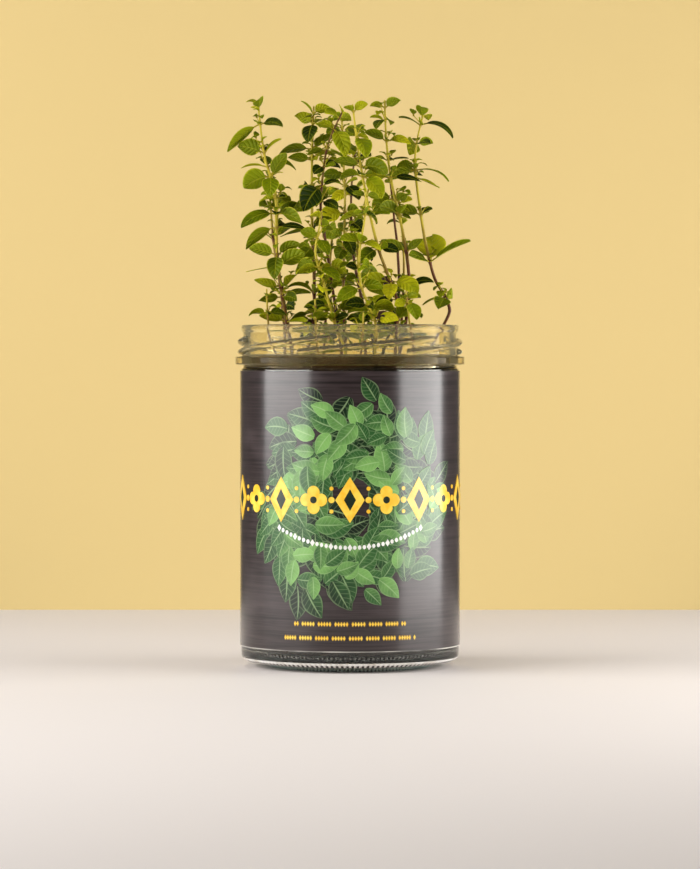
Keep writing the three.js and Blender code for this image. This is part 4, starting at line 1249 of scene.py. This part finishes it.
def make_soil(material):
    """The block of soil with its crumbly top, and loose crumbs on it."""
    skin = Skin()
    skin.loft(soil_block())
    draw = make_draw(SOIL_SEED)
    for _ in range(CRUMBS):
        r, angle = (SOIL_RADIUS - 1.6) * math.sqrt(draw()), math.tau * draw()
        x, y, size = r * math.cos(angle), r * math.sin(angle), 0.3 + 0.8 * draw() ** 3
        add_crumb(skin, np.array([x, y, soil_height(x, y) + 0.3 * size]), size, draw)
    make_piece("potting_soil_bed", skin, [material], ["potting_soil"])


# ---- materials


class Value:
    """A number, vector or colour in a material's node tree. Its numbers take +, - and *."""

    def __init__(self, graph, socket):
        self.graph, self.socket = graph, socket

    def __add__(self, other):
        return self.graph.math("ADD", self, other)

    def __sub__(self, other):
        return self.graph.math("SUBTRACT", self, other)

    def __rsub__(self, other):
        return self.graph.math("SUBTRACT", other, self)

    def __mul__(self, other):
        return self.graph.math("MULTIPLY", self, other)


class Graph:
    """A material's node tree, with a short call for each kind of node."""

    def __init__(self, name):
        self.material = bpy.data.materials.new(name)
        self.material.use_nodes = True
        self.nodes, self.links = self.material.node_tree.nodes, self.material.node_tree.links
        self.shader = self.nodes["Principled BSDF"]

    def link(self, value, socket):
        if isinstance(value, Value):
            self.links.new(value.socket, socket)
        else:
            socket.default_value = value

    def node(self, kind, inputs, output=0, **settings):
        node = self.nodes.new(kind)
        for key, value in settings.items():
            setattr(node, key, value)
        for key, value in inputs.items():
            self.link(value, node.inputs[key])
        return Value(self, node.outputs[output])

    def math(self, operation, *values):
        return self.node("ShaderNodeMath", dict(enumerate(values)), operation=operation)

    def mix(self, factor, a, b):
        return self.node("ShaderNodeMix", {0: factor, 6: a, 7: b}, 2, data_type="RGBA")

    def step(self, value, low, high):
        """0 below low and 1 above high, smooth between them."""
        inputs = {"Value": value, "From Min": low, "From Max": high}
        return self.node("ShaderNodeMapRange", inputs, interpolation_type="SMOOTHSTEP")

    def ramp(self, value, low, high, a, b):
        """Colour a where the value is below low and b above high, mixed between them."""
        return self.mix(self.step(value, low, high), a, b)

    def line(self, value, half, fade):
        """1 where the value is below half and 0 above fade: a soft line along where it is 0."""
        return 1.0 - self.step(value, half, fade)

    def split(self, vector):
        node = self.nodes.new("ShaderNodeSeparateXYZ")
        self.link(vector, node.inputs[0])
        return [Value(self, socket) for socket in node.outputs]

    def joined(self, x, y, z):
        return self.node("ShaderNodeCombineXYZ", {0: x, 1: y, 2: z})

    def object_place(self):
        return self.node("ShaderNodeTexCoord", {}, "Object")

    def place(self):
        """The three numbers that a skin gives each point as its place."""
        return self.split(self.node("ShaderNodeAttribute", {}, "Vector", attribute_name="place"))

    def tone(self):
        return self.node("ShaderNodeAttribute", {}, "Fac", attribute_name="tone")

    def noise(self, scale, detail=3.0, vector=None, roughness=0.5):
        inputs = {"Scale": scale, "Detail": detail, "Roughness": roughness}
        inputs["Vector"] = vector or self.object_place()
        return self.node("ShaderNodeTexNoise", inputs, "Fac")

    def bump(self, height, distance, strength=1.0):
        inputs = {"Height": height, "Distance": distance, "Strength": strength}
        return self.node("ShaderNodeBump", inputs)

    def finish(self, **sockets):
        """Sets the shader's sockets, named as Blender names them with _ for a space."""
        for key, value in sockets.items():
            self.link(value, self.shader.inputs[key.replace("_", " ")])
        return self.material


def srgb(r, g, b):
    """A colour given from 0 to 255 as the eye sees it, as Blender's linear one."""
    linear = [(c / 255 / 12.92) if c <= 10 else ((c / 255 + 0.055) / 1.055) ** 2.4 for c in (r, g, b)]
    return (*linear, 1)


def glass_material(name, light, dark, ior, shine, clear):
    """Slightly wavy glass. shine is how much it mirrors, and clear is 1 where nothing veils it."""
    g = Graph(name)
    waves, specks = g.noise(38, 2), g.noise(420, 2)
    return g.finish(
        Base_Color=g.mix(waves, light, dark),
        Roughness=specks * 0.03,
        IOR=ior,
        Specular_Tint=(shine, shine, shine, 1),
        Transmission_Weight=clear,
        Normal=g.bump(waves + specks * 0.04, 0.0004, 0.35),
    )


# heights up to which the heel's and the foot's grooves are painted dark as shade
HEEL_GROOVES_TOP = 2.9
FOOT_GROOVES_TOP = 0.8


def moulded_glass_material():
    """The milky glass of the heel and foot: a white ring painted as a highlight, painted shade in the
    heel's grooves under it and in the foot's notches, a grey-green foot.
    """
    g = Graph("moulded_glass_painted_light")
    x, y, z = g.split(g.object_place())
    cloud = g.noise(120, 3)
    # 1 in the knurls' grooves, where shade is painted dark
    groove_shade = g.step(g.math("COSINE", g.math("ARCTAN2", y, x) * KNURLS), -0.3, 0.3)
    in_foot = g.math("LESS_THAN", z, (FOOT_HEIGHT + 0.1) * MM)
    # above HEEL_GROOVES_TOP lies the white ring, a painted highlight along the heel's bend
    in_highlight_ring = g.math("GREATER_THAN", z, HEEL_GROOVES_TOP * MM)
    # the heel: milky white ridges, with painted shade in the grooves
    heel = g.mix(groove_shade, srgb(232, 228, 222), srgb(26, 22, 20))
    foot = g.mix(cloud, srgb(176, 188, 182), srgb(140, 152, 146))
    # painted shade in the foot's notches, stronger towards its lower edge
    foot = g.mix(g.step(z, FOOT_GROOVES_TOP * MM, 0.0) * groove_shade, foot, srgb(30, 34, 32))
    # the ring: near-white with cloudy patches, painted as a highlight rather than a colour of the glass
    seam = g.ramp(cloud, 0.4, 0.7, srgb(255, 254, 250), srgb(216, 208, 198))
    colour = g.mix(in_foot, g.mix(in_highlight_ring, heel, seam), foot)
    return g.finish(Base_Color=colour, Roughness=0.25, IOR=1.5, Transmission_Weight=0.15)


def leaf_material():
    """Green leaves: darker where tone is low, with pale veins, a pale rim painted as rim light and a
    paler under side.
    """
    g = Graph("oregano_leaf")
    across, along, under = g.place()
    patches, aside = g.noise(160, 3), g.math("ABSOLUTE", across)
    shade = g.tone() + (patches - 0.5) * 0.6
    green = g.ramp(shade, 0.04, 0.52, srgb(32, 48, 0), srgb(111, 124, 0))
    green = g.ramp(shade, 0.5, 1.1, green, srgb(208, 200, 26))
    from_vein = g.math("PINGPONG", along * 6.5 - aside * 1.5, 0.5)
    rib = g.line(aside, 0.03, 0.1)
    vein = g.math("MAXIMUM", rib, g.line(from_vein, 0.03, 0.12) * 0.25)
    upper = g.mix(vein * 0.4, green, srgb(176, 176, 30))
    lower = g.mix(vein * 0.5, srgb(120, 132, 12), srgb(186, 184, 48))
    lower = g.mix(patches * 0.6, lower, green)
    colour = g.ramp(under, 0.5, 0.8, upper, lower)
    # a pale rim along the blade's edge, painted as rim light
    colour = g.mix(g.step(aside, 0.86, 0.97) * 0.5, colour, srgb(204, 196, 50))
    colour = g.mix(g.line(along, 0.1, 0.2) * 0.8, colour, srgb(168, 150, 40))
    relief = g.step(from_vein, 0.0, 0.4) - rib * 0.8 + g.noise(900, 2) * 0.35
    return g.finish(
        Base_Color=colour,
        Roughness=patches * 0.2 + 0.4,
        Specular_IOR_Level=0.08,
        Subsurface_Weight=0.2,
        Subsurface_Radius=(0.9, 1.1, 0.1),
        Subsurface_Scale=0.0005,
        Normal=g.bump(relief, 0.00028, 0.7),
    )


def stem_material():
    """Yellow-green, red-brown or nearly black stems, darker at their nodes, with fine long lines."""
    g = Graph("oregano_stem")
    brown, _, node = g.place()
    x, y, z = g.split(g.object_place())
    streaks, blotches = g.noise(900, 3, g.joined(x, y, z * 0.08)), g.noise(120, 3)
    amount = brown + (blotches - 0.5) * 0.9 + (streaks - 0.5) * 0.35 + node * 0.32
    colour = g.ramp(amount, 0.05, 0.95, srgb(188, 171, 40), srgb(96, 50, 18))
    colour = g.ramp(amount, 0.9, 1.7, colour, srgb(34, 15, 8))
    return g.finish(
        Base_Color=colour,
        Roughness=blotches * 0.2 + 0.4,
        Specular_IOR_Level=0.3,
        Subsurface_Weight=0.15,
        Subsurface_Radius=(1.0, 0.8, 0.2),
        Subsurface_Scale=0.0005,
        Normal=g.bump(streaks, 0.00012, 0.8),
    )


def withered_material():
    g = Graph("withered_leaf")
    crumple = g.noise(700, 4)
    colour = g.ramp(crumple, 0.3, 0.7, srgb(26, 13, 6), srgb(72, 42, 18))
    colour = g.mix(g.tone() * 0.35, colour, srgb(92, 62, 24))
    return g.finish(Base_Color=colour, Roughness=0.8, Normal=g.bump(crumple, 0.0004, 0.9))


def soil_material():
    """Dark soil, with pale specks and a few pale crumbs."""
    g = Graph("potting_soil")
    grain, clods = g.noise(760, 5, roughness=0.7), g.noise(150, 4)
    mixed = clods * 0.7 + grain * 0.5
    colour = g.ramp(mixed, 0.42, 0.78, srgb(20, 10, 4), srgb(66, 40, 22))
    colour = g.ramp(g.tone(), 0.9, 1.0, colour, srgb(112, 80, 48))
    colour = g.ramp(grain, 0.7, 0.78, colour, srgb(104, 74, 44))
    return g.finish(Base_Color=colour, Roughness=0.95, Normal=g.bump(mixed, 0.0012, 0.9))


LABEL_GLOSS = dict(Coat_Weight=1.0, Coat_Roughness=0.2, Coat_IOR=1.5, Specular_IOR_Level=0.1)
LABEL_ROUGHNESS = 0.3
PLANK_HEIGHT = 29.0  # of the printed planks, and how far below the foot a gap between two lies
PLANK_SHIFT = 9.0
PALE_EDGE_HIGHLIGHT = 0.4  # height of the pale strip along the label's lower edge: unprinted paper, painted in as a highlight line


def label_material():
    """A glossy print of dark planks with fine grain along them, on pale paper, with a pale strip along
    the lower edge painted as a highlight.
    """
    g = Graph("dark_wood_print")
    x, y, z = g.split(g.object_place())
    s = g.math("ARCTAN2", x, y * -1.0) * (LABEL_RADIUS * MM)
    long_grain = g.noise(1.0, 4, g.joined(s * 22, 0.0, z * 900))
    fine_grain = g.noise(1.0, 3, g.joined(s * 60, 3.0, z * 2600))
    clouds = g.noise(1.0, 3, g.joined(s * 30, 9.0, z * 60))
    from_gap = g.math("PINGPONG", z + PLANK_SHIFT * MM, PLANK_HEIGHT / 2 * MM)
    gap = g.line(from_gap, 0.0001, 0.0007)
    grain = fine_grain * 0.4 + long_grain * 0.6
    colour = g.ramp(grain, 0.34, 0.66, srgb(26, 19, 20), srgb(57, 47, 48))
    colour = g.mix(g.step(clouds, 0.45, 0.75) * 0.35, colour, srgb(84, 74, 76))
    colour = g.mix(gap * 0.75, colour, srgb(20, 15, 16))
    flat = g.joined(x, y, 0.0)
    from_axis = g.node("ShaderNodeVectorMath", {0: flat}, "Value", operation="LENGTH")
    inside = g.math("LESS_THAN", from_axis, (LABEL_RADIUS - LABEL_THICKNESS * 0.8) * MM)
    # a patchy pale strip along the lower edge: bare paper, painted in as a highlight line under the
    # label
    pale_edge_highlight = g.math("LESS_THAN", z, (LABEL_BOTTOM + PALE_EDGE_HIGHLIGHT) * MM)
    bare_paper_and_highlight = g.math("MAXIMUM", inside, pale_edge_highlight * g.step(clouds, 0.3, 0.6))
    colour = g.mix(bare_paper_and_highlight, colour, srgb(226, 222, 212))
    roughness = fine_grain * 0.1 + (LABEL_ROUGHNESS - 0.05)
    relief = g.bump(grain, 0.00003, 0.5)
    return g.finish(Base_Color=colour, Roughness=roughness, Normal=relief, **LABEL_GLOSS)


def print_leaf_material():
    """Printed leaves: light or dark green by tone, with a pale rib, side veins and rim."""
    g = Graph("printed_leaves")
    across, along, _ = g.place()
    aside = g.math("ABSOLUTE", across)
    shade = g.tone() + (g.noise(240, 3) - 0.5) * 0.5 + across * 0.12
    colour = g.ramp(shade, -0.05, 0.5, srgb(8, 28, 14), srgb(42, 86, 40))
    colour = g.ramp(shade, 0.45, 1.1, colour, srgb(122, 172, 92))
    side_vein = g.line(g.math("PINGPONG", along * 7.0 - aside * 1.2, 0.5), 0.03, 0.13)
    pale = g.math("MAXIMUM", g.line(aside, 0.03, 0.11), g.step(aside, 0.8, 0.97) * 0.6)
    pale = g.math("MAXIMUM", pale, side_vein * 0.35)
    colour = g.mix(pale * 0.5, colour, srgb(166, 196, 140))
    return g.finish(Base_Color=colour, Roughness=LABEL_ROUGHNESS, **LABEL_GLOSS)


def ink_material(name, light, dark):
    """A flat ink, a little cloudy between a light and a dark tone."""
    g = Graph(name)
    colour = g.ramp(g.noise(300, 2), 0.3, 0.7, light, dark)
    return g.finish(Base_Color=colour, Roughness=LABEL_ROUGHNESS, **LABEL_GLOSS)


def plain_material(name, light, dark):
    """A plain sheet's material, clear from behind so that the object can be seen from there too."""
    g = Graph(name)
    behind = g.node("ShaderNodeNewGeometry", {}, "Backfacing")
    return g.finish(Base_Color=g.mix(g.noise(3.0, 2), light, dark), Roughness=0.75, Alpha=1.0 - behind)


# ---- the studio, in metres

CAMERA_PLACE = (0.0, -1.5, 0.118)
CAMERA_AIM = (0.0, 0.0, 0.0872)
CAMERA_LENS = 165.0
FLOOR_BACK = 0.3265
FLOOR_FRONT = -0.75
FLOOR_HALF_WIDTH = 0.62
FLOOR_EDGE = 0.003  # radius of the round along the floor's back edge
BACKDROP_PLACE = 0.45
BACKDROP_HALF_WIDTH = 0.2
BACKDROP_HEIGHTS = (-0.4, 1.2)
JAR_AIM = (0, 0, 0.11)
BACKDROP_AIM = (0, BACKDROP_PLACE, 0.05)
LIGHT_COLOUR = (1, 0.985, 0.965)
LIGHTS = [
    # name, place, aim, width and height, power
    ("left_softbox", (-0.75, -0.27, 0.3), JAR_AIM, (0.9, 0.5), 9.8),
    ("right_softbox", (0.5, -0.09, 0.15), JAR_AIM, (0.55, 0.3), 3.6),
    ("front_softbox", (-0.3, -1.5, 1.3), JAR_AIM, (1.0, 0.7), 4.2),
    ("top_softbox", (-0.2, 0.1, 1.5), JAR_AIM, (1.0, 0.8), 3.4),
    ("backdrop_light", (0, -0.2, 0.6), BACKDROP_AIM, (0.5, 0.25), 0.08),
    ("backdrop_foot_light", (0, 0.35, -0.12), BACKDROP_AIM, (0.4, 0.04), 0.2),
]
WORLD_STRENGTH = 0.12


def add_sheet(name, line, half_width, material):
    """A sheet along X through a line of [y, z] points, as a part of the stage."""
    points = [(x, y, z) for y, z in line for x in (-half_width, half_width)]
    faces = [(2 * k, 2 * k + 1, 2 * k + 3, 2 * k + 2) for k in range(len(line) - 1)]
    sheet = add_object(name, make_mesh(name, points, faces, [material]))


def make_stage():
    """A pale table top that ends a little way behind the object, and a plain backdrop past it."""
    a = np.linspace(0, math.pi / 2, 7)
    y, z = FLOOR_BACK + FLOOR_EDGE * np.sin(a), FLOOR_EDGE * (np.cos(a) - 1)
    edge = list(zip(y.tolist(), z.tolist()))
    floor = [(FLOOR_FRONT, 0.0), *edge, (FLOOR_BACK + FLOOR_EDGE, -0.05)]
    pale = plain_material("pale_floor", srgb(239, 233, 231), srgb(235, 228, 225))
    add_sheet("floor", floor, FLOOR_HALF_WIDTH, pale)
    backdrop = [(BACKDROP_PLACE, height) for height in BACKDROP_HEIGHTS]
    yellow = plain_material("pale_backdrop", srgb(208, 184, 124), srgb(205, 181, 121))
    add_sheet("backdrop", backdrop, BACKDROP_HALF_WIDTH, yellow)


def aim(thing, place, target):
    thing.location = place
    thing.rotation_mode = "QUATERNION"
    thing.rotation_quaternion = (Vector(target) - Vector(place)).to_track_quat("-Z", "Y")


def add_light(name, place, target, size, power):
    data = bpy.data.lights.new(name, "AREA")
    data.shape = "RECTANGLE"
    data.size, data.size_y = size
    data.energy = power
    data.color = LIGHT_COLOUR
    aim(add_object(name, data), place, target)


def make_world():
    world = bpy.data.worlds.new("studio")
    world.use_nodes = True
    background = world.node_tree.nodes["Background"]
    background.inputs["Color"].default_value = srgb(238, 230, 214)
    background.inputs["Strength"].default_value = WORLD_STRENGTH
    bpy.context.scene.world = world
    bpy.context.scene.view_settings.view_transform = "Standard"


def make_camera():
    data = bpy.data.cameras.new("camera")
    data.lens = CAMERA_LENS
    data.sensor_width = 36.0
    data.sensor_fit = "AUTO"
    data.clip_end = 20.0
    camera = add_object("camera", data)
    aim(camera, CAMERA_PLACE, CAMERA_AIM)
    bpy.context.scene.camera = camera


# ---- the scene

make_camera()
make_stage()
for light in LIGHTS:
    add_light(*light)
make_world()
make_jar(
    glass_material("base_glass", srgb(226, 230, 222), srgb(206, 212, 202), 1.5, 1.0, 1.0),
    moulded_glass_material(),
    glass_material("collar_glass", srgb(238, 228, 190), srgb(226, 212, 164), 1.25, 0.15, 1.0),
    glass_material("neck_glass", srgb(246, 240, 206), srgb(240, 230, 188), 1.25, 0.25, 0.94),
)
make_label(label_material())
make_print(
    print_leaf_material(),
    ink_material("gold_ink", srgb(252, 214, 84), srgb(240, 186, 44)),
    ink_material("white_ink", srgb(244, 244, 240), srgb(226, 226, 222)),
    ink_material("dark_ink", srgb(22, 44, 26), srgb(16, 30, 20)),
)
make_soil(soil_material())
make_plant(stem_material(), leaf_material(), withered_material())
